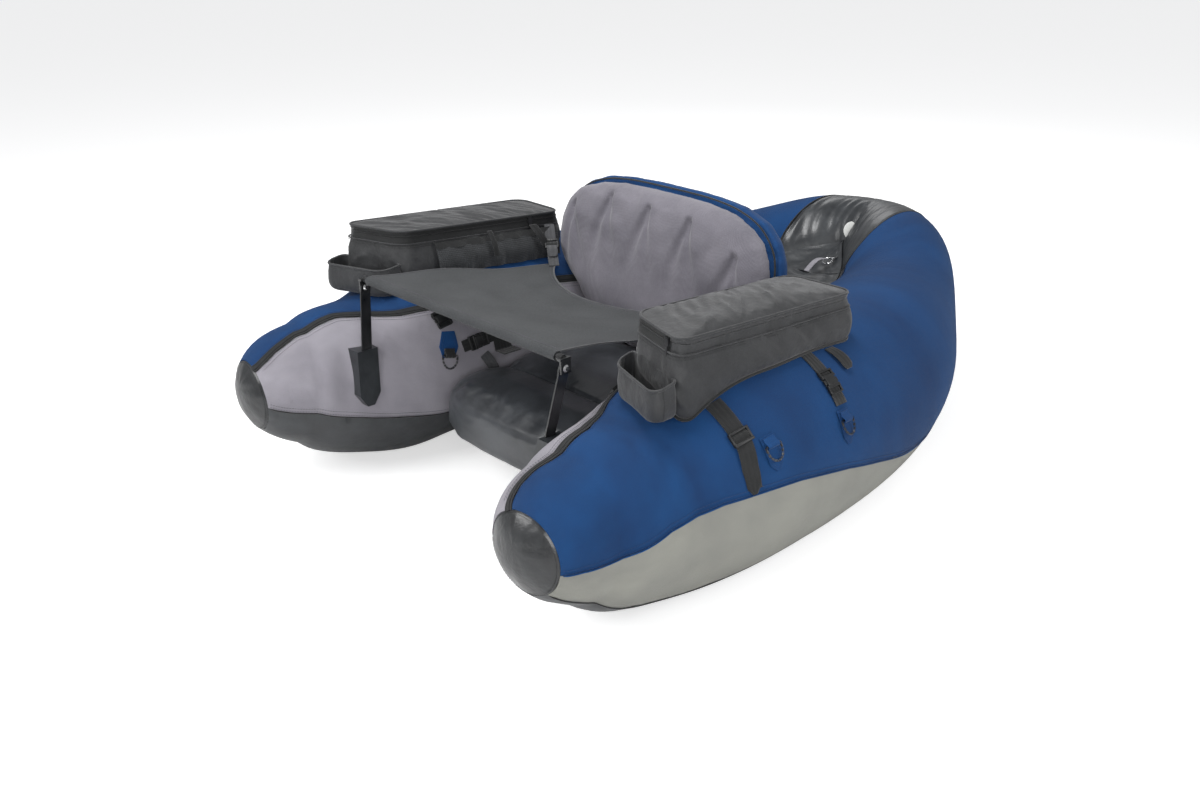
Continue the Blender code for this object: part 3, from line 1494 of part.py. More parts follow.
def make_apron():
    """The stripping apron: a sheet that slopes to the sitter, with a sleeve sewn round the bar at its front."""
    sleeve_radius = BAR_DIAMETER / 2 + APRON_HEM_CLEARANCE + APRON_THICKNESS
    columns = APRON_SHEET_COLUMNS + APRON_SLEEVE_COLUMNS

    def place(along, across):
        column = round(along * columns)
        side = 2 * across - 1
        if column >= APRON_SHEET_COLUMNS:
            turn = math.radians(90 + APRON_SLEEVE_TURN * (column - APRON_SHEET_COLUMNS) / APRON_SLEEVE_COLUMNS)
            return Vector((side * APRON_FRONT_HALF_WIDTH, BAR_Y + sleeve_radius * math.cos(turn),
                           BAR_Z + sleeve_radius * math.sin(turn)))
        share = 1 - column / APRON_SHEET_COLUMNS
        rear_y = APRON_REAR_Y - APRON_REAR_CUT * (1 - side ** 2)
        half_width = APRON_FRONT_HALF_WIDTH + (APRON_REAR_HALF_WIDTH - APRON_FRONT_HALF_WIDTH) * share
        y = BAR_Y + (rear_y - BAR_Y) * share
        level = (y - BAR_Y) / (APRON_REAR_Y - BAR_Y)
        z = BAR_Z + sleeve_radius + (APRON_REAR_Z - BAR_Z - sleeve_radius) * level
        z -= APRON_SAG * math.sin(level * math.pi) * (1 - side ** 2)
        return Vector((side * half_width, y, z))

    bm = grid_surface(columns, APRON_ROWS, place)
    above = Vector((0.0, BAR_Y, BAR_Z))

    def inner_point(centre):
        if centre.y < BAR_Y + sleeve_radius:
            return Vector((centre.x, above.y, above.z))
        return centre - UP

    face_out(bm, inner_point)
    piece = add_object("apron", mesh_from("apron", bm), apron_cloth)
    thicken(piece, APRON_THICKNESS)
    smooth(piece, 60)
    return piece


APRON_STRAP_WIDTH = 0.020
APRON_STRAP_TOP_DROP = 0.014


def make_apron_strap():
    """Webbing from the apron's rear corner up to the inner rear corner of the bag."""
    low = Vector((APRON_REAR_HALF_WIDTH - APRON_STRAP_WIDTH, APRON_REAR_Y - APRON_STRAP_WIDTH, APRON_REAR_Z))
    slope = (BAR_Z - APRON_REAR_Z) / (APRON_REAR_Y - BAR_Y)
    low.z += slope * APRON_STRAP_WIDTH + STRAP_STEP + CONTACT_GAP
    b = BAG_LENGTH / 2 - BAG_CORNER_RADIUS - APRON_STRAP_WIDTH / 2
    x, y = bag_ground(-BAG_TOP_WIDTH / 2 - BAG_BULGE - APRON_STRAP_WALL_GAP, b)
    high = Vector((x, y, bag_level(b) - APRON_STRAP_TOP_DROP))
    run = high - low
    length = run.length
    run.normalize()
    normal = (UP - run * run.z).normalized()
    sideways = run.cross(normal)

    def place(distance, side, height):
        return low + run * distance + sideways * side + normal * height

    block = length * EVEN_SHARE - LOCK_LENGTH / 2
    sections = webbing_with_block(length, APRON_STRAP_WIDTH, block, LOCK_LENGTH, LOCK_HEIGHT,
                                  APRON_STRAP_WIDTH + LOCK_HEIGHT)
    return strip_loft("left_apron_strap", place, sections, black_webbing)


APRON_STRAP_WALL_GAP = 0.0062
POCKET_ROWS = 5
POCKET_BACK_COLUMNS = 3


def make_bar_pocket():
    """A welded pocket on the tube's inner side. Its slot takes the leg's foot, and lets it slide out upwards."""
    mouth = POCKET_MOUTH_Z
    tip = mouth - POCKET_HEIGHT
    front_x = LEG_FOOT_X - LEG_THICKNESS / 2 - POCKET_SLOT_CLEARANCE - POCKET_FRONT_WALL
    around = 2 * POCKET_BACK_COLUMNS

    def place(along, across):
        z = tip + POCKET_HEIGHT * along
        point_share = min(along * POCKET_HEIGHT / POCKET_POINT, 1.0)
        half_width = POCKET_WIDTH / 2 * (POCKET_TIP_SHARE + (1 - POCKET_TIP_SHARE) * point_share)
        index = round(across * around) % around
        if index < POCKET_BACK_COLUMNS:
            y = leg_y(z) - half_width + 2 * half_width * index / (POCKET_BACK_COLUMNS - 1)
            return Vector((POCKET_TIP_X + (front_x - POCKET_TIP_X) * along, y, z))
        back = index - POCKET_BACK_COLUMNS
        y = leg_y(z) + half_width - 2 * half_width * back / (POCKET_BACK_COLUMNS - 1)
        return Vector((inner_reach(y, z, POCKET_SEAT_GAP), y, z))

    bm = grid_surface(POCKET_ROWS, around, place, closed=True)
    bmesh.ops.holes_fill(bm, edges=[edge for edge in bm.edges if edge.is_boundary], sides=around)
    bmesh.ops.recalc_face_normals(bm, faces=bm.faces)
    if bm.calc_volume(signed=True) < 0:
        bmesh.ops.reverse_faces(bm, faces=bm.faces)
    pocket = add_object("left_bar_pocket", mesh_from("left_bar_pocket", bm), black_vinyl)
    half_width = LEG_WIDTH / 2 + POCKET_SLOT_CLEARANCE
    half_slot = LEG_THICKNESS / 2 + POCKET_SLOT_CLEARANCE

    def slot_place(distance, sideways, height):
        z = LEG_FOOT_Z - POCKET_SLOT_CLEARANCE + distance
        return Vector((LEG_FOOT_X + height, leg_y(z) + sideways, z))

    slot = strip_loft("left_pocket_slot", slot_place, [
        (0.0, -half_slot, half_slot, 2 * half_width, 0.0),
        (POCKET_HEIGHT, -half_slot, half_slot, 2 * half_width, 0.0),
    ], black_vinyl)
    as_cutter(slot)
    cut_away(pocket, slot)
    settle(pocket)
    return pocket


POCKET_SEAT_GAP = 0.0005
POCKET_TIP_SHARE = 0.35


# Storage deck

DECK_COLUMNS = 6
DECK_ROWS = 8
DECK_EDGE_GAP = 0.0022


def make_deck():
    """The sheet that closes the hold behind the backrest, between the tubes."""
    def place(along, across):
        side = 2 * across - 1
        y = DECK_FRONT_Y + (DECK_REAR_Y - DECK_FRONT_Y) * along
        z = DECK_FRONT_Z + (DECK_REAR_Z - DECK_FRONT_Z) * along
        reach = inner_reach(y, z, DECK_EDGE_GAP)
        z -= DECK_SAG * (1 - side ** 2)
        return Vector((side * reach, y, z))

    bm = grid_surface(DECK_COLUMNS, DECK_ROWS, place)
    face_out(bm, lambda centre: centre - UP)
    piece = add_object("storage_deck", mesh_from("storage_deck", bm), black_vinyl)
    thicken(piece, DECK_THICKNESS)
    smooth(piece, 60)
    return piece


remove_all_objects()
parts = make_collection("float_tube")
cutters = make_collection("float_tube_cutters")
blue_fabric = make_material("blue_fabric", (0.025, 0.075, 0.22), 0.8)
pale_fabric = make_material("pale_fabric", (0.30, 0.30, 0.29), 0.75)
grey_fabric = make_material("grey_fabric", (0.24, 0.235, 0.25), 0.8)
black_vinyl = make_material("black_vinyl", (0.012, 0.013, 0.015), 0.3)
clear_vinyl = make_material("clear_vinyl", (0.35, 0.36, 0.36), 0.35)
black_webbing = make_material("black_webbing", (0.012, 0.012, 0.013), 0.7)
grey_plastic = make_material("grey_plastic", (0.06, 0.06, 0.065), 0.4)
black_nylon = make_material("black_nylon", (0.022, 0.023, 0.025), 0.55)
apron_cloth = make_material("apron_cloth", (0.045, 0.046, 0.048), 0.75)
black_metal = make_material("black_metal", (0.010, 0.010, 0.011), 0.35, 0.6)
bright_metal = make_material("bright_metal", (0.6, 0.6, 0.6), 0.2, 1.0)

left_pieces = list(make_covers())
inner_cover = left_pieces[3]
left_bladder = make_bladder()
left_pieces += [make_nose_cap(), left_bladder, make_air_valve(inner_cover, left_bladder)]
settle(inner_cover)
settle(left_bladder)
crossbar, rivet_hole = make_crossbar()
left_pieces += [make_bag_body(), make_bag_lid(), make_cup_pocket(), make_front_strap(), make_rear_strap()]
left_pieces += [make_leg(rivet_hole), make_rivet(), make_bar_pocket(), make_apron_strap()]
left_pieces += [make_harness_buckle(), make_seat_strap()]
RING_PLACES = [
    ("front", FRONT_RING_STATION, FRONT_RING_ANGLE, 1, 0.0, SIDE_PATCH),
    ("rear", REAR_RING_STATION, REAR_RING_ANGLE, 1, 0.0, SIDE_PATCH),
    ("harness", HARNESS_RING_STATION, HARNESS_RING_ANGLE, -1, HARNESS_HEADING, HARNESS_PATCH),
]
for place_name, station, angle, side, heading, patch_rows in RING_PLACES:
    left_pieces.append(make_ring_tab(f"left_{place_name}_ring_tab", station, angle, side, heading, patch_rows,
                                     blue_fabric))
    left_pieces.append(make_ring(f"left_{place_name}_ring", station, angle, side, heading))
for left in left_pieces:
    mirrored_to_right(left)
make_slider("left_zip_slider", True, BAG_TOP_WIDTH / 2 - LEFT_SLIDER_FROM_CORNER, LEFT_PULL_LENGTH)
make_slider("right_zip_slider", False, BAG_LENGTH / 2 - RIGHT_SLIDER_FROM_END, PULL_LENGTH)
make_stern_cover()
make_seat()
make_backrest()
make_apron()
make_deck()
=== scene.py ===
import math

import bmesh
import bpy
import numpy as np
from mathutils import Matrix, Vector, noise


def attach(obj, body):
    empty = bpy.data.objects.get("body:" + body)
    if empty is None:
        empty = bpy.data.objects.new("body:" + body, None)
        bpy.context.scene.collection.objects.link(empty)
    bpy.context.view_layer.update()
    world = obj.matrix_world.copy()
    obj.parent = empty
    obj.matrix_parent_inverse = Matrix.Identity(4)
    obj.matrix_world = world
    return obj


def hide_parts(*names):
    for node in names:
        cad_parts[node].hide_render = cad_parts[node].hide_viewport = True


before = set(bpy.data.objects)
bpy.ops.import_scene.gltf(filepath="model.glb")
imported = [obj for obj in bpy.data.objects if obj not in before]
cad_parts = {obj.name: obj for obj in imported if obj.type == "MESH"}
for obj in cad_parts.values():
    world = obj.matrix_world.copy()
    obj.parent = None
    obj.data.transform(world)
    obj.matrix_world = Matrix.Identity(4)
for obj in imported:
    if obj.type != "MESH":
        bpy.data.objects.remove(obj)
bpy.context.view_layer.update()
scene = bpy.context.scene

# Camera, floor and light

photoCamera = {"azimuth": 45.127, "elevation": 20.211, "place": (1.58398, -1.57697, 1.02284),
               "lens": 37.28, "shift": (-0.0686, -0.0530)}


def addCamera(view):
    azimuth = math.radians(view["azimuth"])
    elevation = math.radians(view["elevation"])
    back = Vector((math.sin(azimuth) * math.cos(elevation), -math.cos(azimuth) * math.cos(elevation),
                   math.sin(elevation)))
    bpy.ops.object.camera_add(location=view["place"], rotation=(-back).to_track_quat('-Z', 'Y').to_euler())
    camera = bpy.context.object
    camera.data.lens = view["lens"]
    camera.data.sensor_width = 36
    camera.data.shift_x, camera.data.shift_y = view["shift"]
    scene.camera = camera


addCamera(photoCamera)

lights = {
    "keySoftbox": {"place": (-0.7, -2.5, 1.9), "size": 1.7, "power": 50},
    "cameraSoftbox": {"place": (2.2, -2.0, 1.15), "size": 1.4, "power": 34},
    "sideSoftbox": {"place": (2.5, 0.6, 1.7), "size": 1.2, "power": 24},
    "topSoftbox": {"place": (-0.2, -0.3, 2.6), "size": 1.0, "power": 36},
    "rimSoftbox": {"place": (-1.8, 2.3, 1.8), "size": 1.2, "power": 7},
}
for name, lamp in lights.items():
    bpy.ops.object.light_add(type='AREA', location=lamp["place"])
    light = bpy.context.object
    light.name = name
    light.data.shape = 'DISK'
    light.data.size = lamp["size"]
    light.data.energy = lamp["power"]
    light.rotation_euler = (Vector((0, 0, 0.2)) - light.location).to_track_quat('-Z', 'Y').to_euler()


def linear(code):
    values = [int(code[i:i + 2], 16) / 255 for i in (1, 3, 5)]
    return tuple(v / 12.92 if v <= 0.04045 else ((v + 0.055) / 1.055) ** 2.4 for v in values) + (1.0,)


def addNode(tree, kind, inputs=None, **settings):
    node = tree.nodes.new(kind)
    for name, value in settings.items():
        setattr(node, name, value)
    for name, value in (inputs or {}).items():
        if isinstance(value, bpy.types.NodeSocket):
            tree.links.new(value, node.inputs[name])
        else:
            node.inputs[name].default_value = value
    return node


def newMaterial(name):
    material = bpy.data.materials.new(name)
    material.use_nodes = True
    material.node_tree.nodes.clear()
    return material, material.node_tree


world = bpy.data.worlds.new("studioAir")
scene.world = world
world.use_nodes = True
world.node_tree.nodes.clear()
worldRays = addNode(world.node_tree, "ShaderNodeLightPath")
roomLight = addNode(world.node_tree, "ShaderNodeBackground", {"Color": linear("#f2f3f5"), "Strength": 0.40})
backdrop = addNode(world.node_tree, "ShaderNodeBackground", {"Color": linear("#fdfdfd"), "Strength": 1.0})
worldMix = addNode(world.node_tree, "ShaderNodeMixShader", {
    0: worldRays.outputs["Is Camera Ray"], 1: roomLight.outputs[0], 2: backdrop.outputs[0]})
addNode(world.node_tree, "ShaderNodeOutputWorld", {"Surface": worldMix.outputs[0]})
scene.view_settings.view_transform = 'Standard'

bpy.ops.mesh.primitive_plane_add(size=30, location=(0, 0, -0.0006))
floor = bpy.context.object
floor.name = "studioFloor"
floorMaterial, tree = newMaterial("paleFloor")
floorRays = addNode(tree, "ShaderNodeLightPath")
floorPaint = addNode(tree, "ShaderNodeBsdfPrincipled", {"Base Color": linear("#efefef"), "Roughness": 0.9})
floorGlow = addNode(tree, "ShaderNodeEmission", {"Color": linear("#fdfdfd"), "Strength": 0.55})
floorSum = addNode(tree, "ShaderNodeAddShader", {0: floorPaint.outputs[0], 1: floorGlow.outputs[0]})
floorMix = addNode(tree, "ShaderNodeMixShader", {
    0: floorRays.outputs["Is Camera Ray"], 1: floorPaint.outputs[0], 2: floorSum.outputs[0]})
addNode(tree, "ShaderNodeOutputMaterial", {"Surface": floorMix.outputs[0]})
floor.data.materials.append(floorMaterial)
print("camera, floor and light are set")

# Materials. Lengths are in metres, so a pattern's scale is one over its real size


def waves(tree, place, pitch, direction):
    # a wave texture repeats every 2 pi / 20 of its scaled coordinate
    bands = {"Vector": place, "Scale": math.tau / 20 / pitch, "Distortion": 0.0}
    return addNode(tree, "ShaderNodeTexWave", bands, wave_type='BANDS', bands_direction=direction,
                   wave_profile='SIN').outputs["Fac"]


def noisy(tree, place, size, detail=2.0, rough=0.5, stretch=(1, 1, 1)):
    where = addNode(tree, "ShaderNodeMapping", {"Vector": place, "Scale": stretch})
    return addNode(tree, "ShaderNodeTexNoise", {
        "Vector": where.outputs[0], "Scale": 1 / size, "Detail": detail, "Roughness": rough}).outputs["Fac"]


def blendOf(tree, factor, low, high):
    mix = addNode(tree, "ShaderNodeMix", data_type='RGBA')
    tree.links.new(factor, mix.inputs[0])
    mix.inputs[6].default_value = low
    mix.inputs[7].default_value = high
    return mix.outputs[2]


def weaveOf(tree, look):
    coords = addNode(tree, "ShaderNodeTexCoord")
    if look.get("flat"):
        place = coords.outputs["UV"]
        warp = waves(tree, place, look["pitch"], 'X')
        weft = waves(tree, place, look["pitch"], 'Y')
    else:
        place = coords.outputs["Object"]
        turned = addNode(tree, "ShaderNodeMapping", {"Vector": place, "Rotation": (0, 0, math.pi / 2)})
        warp = waves(tree, place, look["pitch"], 'DIAGONAL')
        weft = waves(tree, turned.outputs[0], look["pitch"], 'DIAGONAL')
    return place, addNode(tree, "ShaderNodeMath", {0: warp, 1: weft}, operation='MULTIPLY').outputs[0]


def clothOf(name, look):
    material, tree = newMaterial(name)
    place, threads = weaveOf(tree, look)
    patches = noisy(tree, place, look["patch"], 3.0)
    flecks = noisy(tree, place, look["fleck"], 4.0, 0.7)
    share = look["fleckShare"]
    broad = addNode(tree, "ShaderNodeMath", {0: patches, 1: 1 - share}, operation='MULTIPLY').outputs[0]
    mottle = addNode(tree, "ShaderNodeMath", {0: flecks, 1: share, 2: broad}, operation='MULTIPLY_ADD')
    spread = addNode(tree, "ShaderNodeMapRange", {
        "Value": mottle.outputs[0], "From Min": 0.34, "From Max": 0.66})
    cloth = blendOf(tree, spread.outputs[0], linear(look["dark"]), linear(look["light"]))
    shaded = addNode(tree, "ShaderNodeMix", {6: cloth}, data_type='RGBA', blend_type='MULTIPLY')
    shaded.inputs[0].default_value = look["threadShade"]
    tree.links.new(blendOf(tree, threads, (0.55, 0.55, 0.55, 1), (1, 1, 1, 1)), shaded.inputs[7])
    weaveBump = addNode(tree, "ShaderNodeBump", {
        "Height": threads, "Strength": 0.7, "Distance": look["threadDepth"]})
    crinkles = noisy(tree, place, look["crease"], 3.0, 0.55, look.get("stretch", (1, 1, 1)))
    bump = addNode(tree, "ShaderNodeBump", {
        "Height": crinkles, "Strength": 0.8, "Distance": look["creaseDepth"], "Normal": weaveBump.outputs[0]})
    gloss = addNode(tree, "ShaderNodeMapRange", {"Value": flecks, "To Min": look["rough"] - 0.07,
                                                 "To Max": look["rough"] + 0.07})
    shader = addNode(tree, "ShaderNodeBsdfPrincipled", {
        "Base Color": shaded.outputs[2], "Roughness": gloss.outputs[0], "Normal": bump.outputs[0],
        "Sheen Weight": look["sheen"], "Sheen Roughness": 0.45, "Specular IOR Level": look.get("shine", 0.3)})
    addNode(tree, "ShaderNodeOutputMaterial", {"Surface": shader.outputs[0]})
    return material


def smoothFinish(name, look):
    material, tree = newMaterial(name)
    place = addNode(tree, "ShaderNodeTexCoord").outputs["Object"]
    smears = noisy(tree, place, look["smear"], 4.0, 0.6, look.get("stretch", (1, 1, 1)))
    grain = noisy(tree, place, look["grain"], 2.0)
    wear = addNode(tree, "ShaderNodeMapRange", {"Value": smears, "From Min": 0.3, "From Max": 0.7})
    colour = blendOf(tree, wear.outputs[0], linear(look["dark"]), linear(look["light"]))
    gloss = addNode(tree, "ShaderNodeMapRange", {"Value": smears, "From Min": 0.3, "From Max": 0.7,
                                                 "To Min": look["rough"][0], "To Max": look["rough"][1]})
    grainBump = addNode(tree, "ShaderNodeBump", {
        "Height": grain, "Strength": 0.5, "Distance": look["grainDepth"]})
    bump = addNode(tree, "ShaderNodeBump", {
        "Height": smears, "Strength": 0.6, "Distance": look["smearDepth"], "Normal": grainBump.outputs[0]})
    shader = addNode(tree, "ShaderNodeBsdfPrincipled", {
        "Base Color": colour, "Roughness": gloss.outputs[0], "Normal": bump.outputs[0],
        "Metallic": look.get("metal", 0.0), "Specular IOR Level": look.get("shine", 0.5),
        "Coat Weight": look.get("coat", 0.0), "Coat Roughness": 0.12,
        "Transmission Weight": look.get("clear", 0.0)})
    addNode(tree, "ShaderNodeOutputMaterial", {"Surface": shader.outputs[0]})
    return material


sewingThread = {"pitch": 0.0006, "patch": 0.02, "fleck": 0.001, "fleckShare": 0.5, "threadShade": 0.3,
                "threadDepth": 0.0001, "crease": 0.01, "creaseDepth": 0.0001, "rough": 0.6, "sheen": 0.1}
# woven strap: ribs across it every 2 mm
ribbedStrap = {"pitch": 0.0021, "patch": 0.03, "fleck": 0.0015, "fleckShare": 0.5, "threadShade": 0.6,
               "threadDepth": 0.0006, "crease": 0.03, "creaseDepth": 0.0006, "rough": 0.78, "sheen": 0.25,
               "flat": True}
blueDye = {"dark": "#052e5a", "light": "#0a447a"}
cloths = {
    # 600 denier polyester on the tubes: threads about a millimetre across, with faint faded patches
    "bluePolyester": {**blueDye, "pitch": 0.0013, "patch": 0.16, "fleck": 0.0022, "fleckShare": 0.42,
                      "threadShade": 0.45, "threadDepth": 0.00035, "crease": 0.035, "creaseDepth": 0.0012,
                      "rough": 0.82, "sheen": 0.02, "flat": True},
    "blueQuilt": {**blueDye, "pitch": 0.0016, "patch": 0.10, "fleck": 0.0022, "fleckShare": 0.42,
                  "threadShade": 0.35, "threadDepth": 0.0003, "crease": 0.03, "creaseDepth": 0.0020,
                  "rough": 0.82, "sheen": 0.06},
    # the tubes' grey polyester, lighter than the same cloth on the backrest: painted light on the tubes'
    # inner sides
    "greyPolyester": {"dark": "#827f87", "light": "#9f9ca4", "pitch": 0.0013, "patch": 0.14,
                      "fleck": 0.0022, "fleckShare": 0.42, "threadShade": 0.35, "threadDepth": 0.0003,
                      "crease": 0.035, "creaseDepth": 0.0012, "rough": 0.84, "sheen": 0.20, "flat": True},
    # the same grey polyester on the backrest's front, darker: painted shade over the backrest
    "greyQuilt": {"dark": "#626068", "light": "#7c7981", "pitch": 0.0016, "patch": 0.09, "fleck": 0.0024,
                  "fleckShare": 0.40, "threadShade": 0.30, "threadDepth": 0.0003, "crease": 0.028,
                  "creaseDepth": 0.0022, "rough": 0.86, "sheen": 0.25},
    "paleCoatedFabric": {"dark": "#7e7e79", "light": "#919189", "pitch": 0.0015, "patch": 0.20,
                         "fleck": 0.003, "fleckShare": 0.25, "threadShade": 0.22, "threadDepth": 0.00025,
                         "crease": 0.05, "creaseDepth": 0.0012, "rough": 0.62, "sheen": 0.05, "flat": True},
    # light nylon pack cloth, which creases sharply
    "blackNylon": {"dark": "#1d1e20", "light": "#323335", "pitch": 0.0012, "patch": 0.05, "fleck": 0.0018,
                   "fleckShare": 0.45, "threadShade": 0.35, "threadDepth": 0.0002, "crease": 0.018,
                   "creaseDepth": 0.0022, "rough": 0.56, "sheen": 0.18, "shine": 0.45},
    "apronCloth": {"dark": "#2b2d2f", "light": "#505254", "pitch": 0.0016, "patch": 0.10, "fleck": 0.0030,
                   "fleckShare": 0.75, "threadShade": 0.45, "threadDepth": 0.0003, "crease": 0.05,
                   "creaseDepth": 0.0014, "rough": 0.82, "sheen": 0.04, "flat": True},
    "paleBinding": {"dark": "#7d7b82", "light": "#a3a1a7", "pitch": 0.0016, "patch": 0.05, "fleck": 0.003,
                    "fleckShare": 0.5, "threadShade": 0.4, "threadDepth": 0.0003, "crease": 0.02,
                    "creaseDepth": 0.0008, "rough": 0.75, "sheen": 0.15, "flat": True},
    "blackWebbing": {**ribbedStrap, "dark": "#161718", "light": "#2b2c2d"},
    "greyWebbing": {**ribbedStrap, "dark": "#3a3b3d", "light": "#56575a"},
    "pocketMesh": {"dark": "#26282a", "light": "#434548", "pitch": 0.0034, "patch": 0.04, "fleck": 0.002,
                   "fleckShare": 0.3, "threadShade": 1.0, "threadDepth": 0.0010, "crease": 0.02,
                   "creaseDepth": 0.0016, "rough": 0.7, "sheen": 0.2, "flat": True},
    "zipTape": {"dark": "#141516", "light": "#232425", "pitch": 0.0018, "patch": 0.03, "fleck": 0.0012,
                "fleckShare": 0.5, "threadShade": 0.8, "threadDepth": 0.0006, "crease": 0.03,
                "creaseDepth": 0.0004, "rough": 0.6, "sheen": 0.1, "flat": True},
    "blueThread": {**sewingThread, "dark": "#182c4e", "light": "#20396a"},
    "greyThread": {**sewingThread, "dark": "#4b4950", "light": "#615f67"},
    "blackThread": {**sewingThread, "dark": "#0f1010", "light": "#232424"},
}
smooths = {
    # vinyl-coated fabric: glossy, with soft creases and rubbed patches
    "blackVinyl": {"dark": "#1e2023", "light": "#303336", "smear": 0.05, "grain": 0.0018,
                   "grainDepth": 0.00012, "smearDepth": 0.0026, "rough": (0.32, 0.46), "shine": 0.55,
                   "coat": 0.12},
    # the seat's black vinyl, lighter than the other black vinyl: a painted sheen for the highlights on its
    # glossy top
    "seatVinyl": {"dark": "#2b2d30", "light": "#424549", "smear": 0.07, "grain": 0.0018,
                  "grainDepth": 0.00010, "smearDepth": 0.0016, "rough": (0.28, 0.40), "shine": 0.6,
                  "coat": 0.20},
    # the nose caps' dark vinyl, darker than the other black vinyl: painted shade over the nose
    "smokeVinyl": {"dark": "#151618", "light": "#26282a", "smear": 0.035, "grain": 0.0018,
                   "grainDepth": 0.00010, "smearDepth": 0.0040, "rough": (0.28, 0.44), "shine": 0.55,
                   "coat": 0.12},
    "blackAcetal": {"dark": "#131415", "light": "#202122", "smear": 0.02, "grain": 0.0006,
                    "grainDepth": 0.00005, "smearDepth": 0.0003, "rough": (0.34, 0.5), "shine": 0.45},
    "blackSteel": {"dark": "#0e0f10", "light": "#1d1e20", "smear": 0.02, "grain": 0.0008,
                   "grainDepth": 0.00008, "smearDepth": 0.0003, "rough": (0.26, 0.42), "shine": 0.6,
                   "coat": 0.3},
    "brightRivet": {"dark": "#b9babc", "light": "#e2e2e2", "smear": 0.006, "grain": 0.0005,
                    "grainDepth": 0.00003, "smearDepth": 0.0001, "rough": (0.10, 0.22), "metal": 1.0},
    "clearUrethane": {"dark": "#9d9f98", "light": "#b5b6ae", "smear": 0.05, "grain": 0.002,
                      "grainDepth": 0.0001, "smearDepth": 0.002, "rough": (0.2, 0.35), "clear": 0.5},
    "paleVinyl": {"dark": "#b5b6b4", "light": "#cdcecb", "smear": 0.012, "grain": 0.0012,
                  "grainDepth": 0.0001, "smearDepth": 0.0008, "rough": (0.3, 0.5)},
}
materials = {name: clothOf(name, look) for name, look in cloths.items()}
materials.update({name: smoothFinish(name, look) for name, look in smooths.items()})
print("materials are made")

# Ways to make a piece


def coordsOf(piece):
    flat = np.empty(len(piece.data.vertices) * 3)
    piece.data.vertices.foreach_get("co", flat)
    return flat.reshape(-1, 3)


def moveTo(piece, points):
    piece.data.vertices.foreach_set("co", np.asarray(points, float).ravel())
    piece.data.update()


def normalsOf(piece):
    flat = np.empty(len(piece.data.vertices) * 3)
    piece.data.vertices.foreach_get("normal", flat)
    return flat.reshape(-1, 3)


def only(piece):
    bpy.ops.object.select_all(action='DESELECT')
    piece.select_set(True)
    bpy.context.view_layer.objects.active = piece


def applyAll(piece):
    only(piece)
    for modifier in list(piece.modifiers):
        bpy.ops.object.modifier_apply(modifier=modifier.name)


def gridPiece(name, columns, rows, place, spread, closed=False):
    # a grid whose points go where place(along, across) says, both from 0 to 1
    # spread is its flat size in metres, which scales the weave
    bpy.ops.mesh.primitive_grid_add(x_subdivisions=columns, y_subdivisions=rows, size=1)
    piece = bpy.context.object
    piece.name = name
    flat = coordsOf(piece)
    moveTo(piece, place(flat[:, 0] + 0.5, flat[:, 1] + 0.5))
    layer = piece.data.uv_layers[0].data
    uv = np.empty(len(layer) * 2)
    layer.foreach_get("uv", uv)
    layer.foreach_set("uv", (uv.reshape(-1, 2) * spread).ravel())
    if closed:
        bm = bmesh.new()
        bm.from_mesh(piece.data)
        bmesh.ops.remove_doubles(bm, verts=bm.verts, dist=1e-6)
        bm.to_mesh(piece.data)
        bm.free()
    return piece


def closeEnds(piece):
    bm = bmesh.new()
    bm.from_mesh(piece.data)
    bmesh.ops.holes_fill(bm, edges=[edge for edge in bm.edges if edge.is_boundary], sides=0)
    bmesh.ops.recalc_face_normals(bm, faces=bm.faces)
    bm.to_mesh(piece.data)
    bm.free()


def thicken(piece, thickness, offset=-1.0):
    solid = piece.modifiers.new("Thickness", 'SOLIDIFY')
    solid.thickness = thickness
    solid.offset = offset
    applyAll(piece)


def faceOut(piece, towards):
    bm = bmesh.new()
    bm.from_mesh(piece.data)
    bm.normal_update()
    score = sum(face.normal.dot(face.calc_center_median() - Vector(towards)) for face in bm.faces)
    if score < 0:
        bmesh.ops.reverse_faces(bm, faces=bm.faces)
    bm.to_mesh(piece.data)
    bm.free()


def faceUp(piece):
    # turns an open sheet so that its faces look up, and measures it
    bm = bmesh.new()
    bm.from_mesh(piece.data)
    if sum(face.normal.z * face.calc_area() for face in bm.faces) < 0:
        bmesh.ops.reverse_faces(bm, faces=bm.faces)
    area = sum(face.calc_area() for face in bm.faces)
    bm.to_mesh(piece.data)
    bm.free()
    return area


def roundEdges(piece, width, segments=3):
    edge = piece.modifiers.new("Edges", 'BEVEL')
    edge.width = width
    edge.segments = segments
    edge.limit_method = 'ANGLE'


def dress(piece, material, body="hull", replaced=(), angle=50):
    only(piece)
    bpy.ops.object.shade_smooth_by_angle(angle=math.radians(angle))
    piece.data.materials.clear()
    piece.data.materials.append(materials[material])
    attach(piece, body)
    if replaced:
        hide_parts(*replaced)
    return piece


def joined(name, pieces):
    bpy.ops.object.select_all(action='DESELECT')
    for piece in pieces:
        piece.select_set(True)
    bpy.context.view_layer.objects.active = pieces[0]
    if len(pieces) > 1:
        bpy.ops.object.join()
    pieces[0].name = name
    return pieces[0]


def lumps(points, size, seed=0.0):
    shift = Vector((seed, seed * 1.7, -seed))
    return np.array([noise.noise(Vector(point) / size + shift) for point in points])


def smoothStep(value):
    value = np.clip(value, 0, 1)
    return value * value * (3 - 2 * value)


def mirrorOf(points, side):
    return points * np.array([side, 1, 1])


def sideWord(side):
    return "left" if side > 0 else "right"


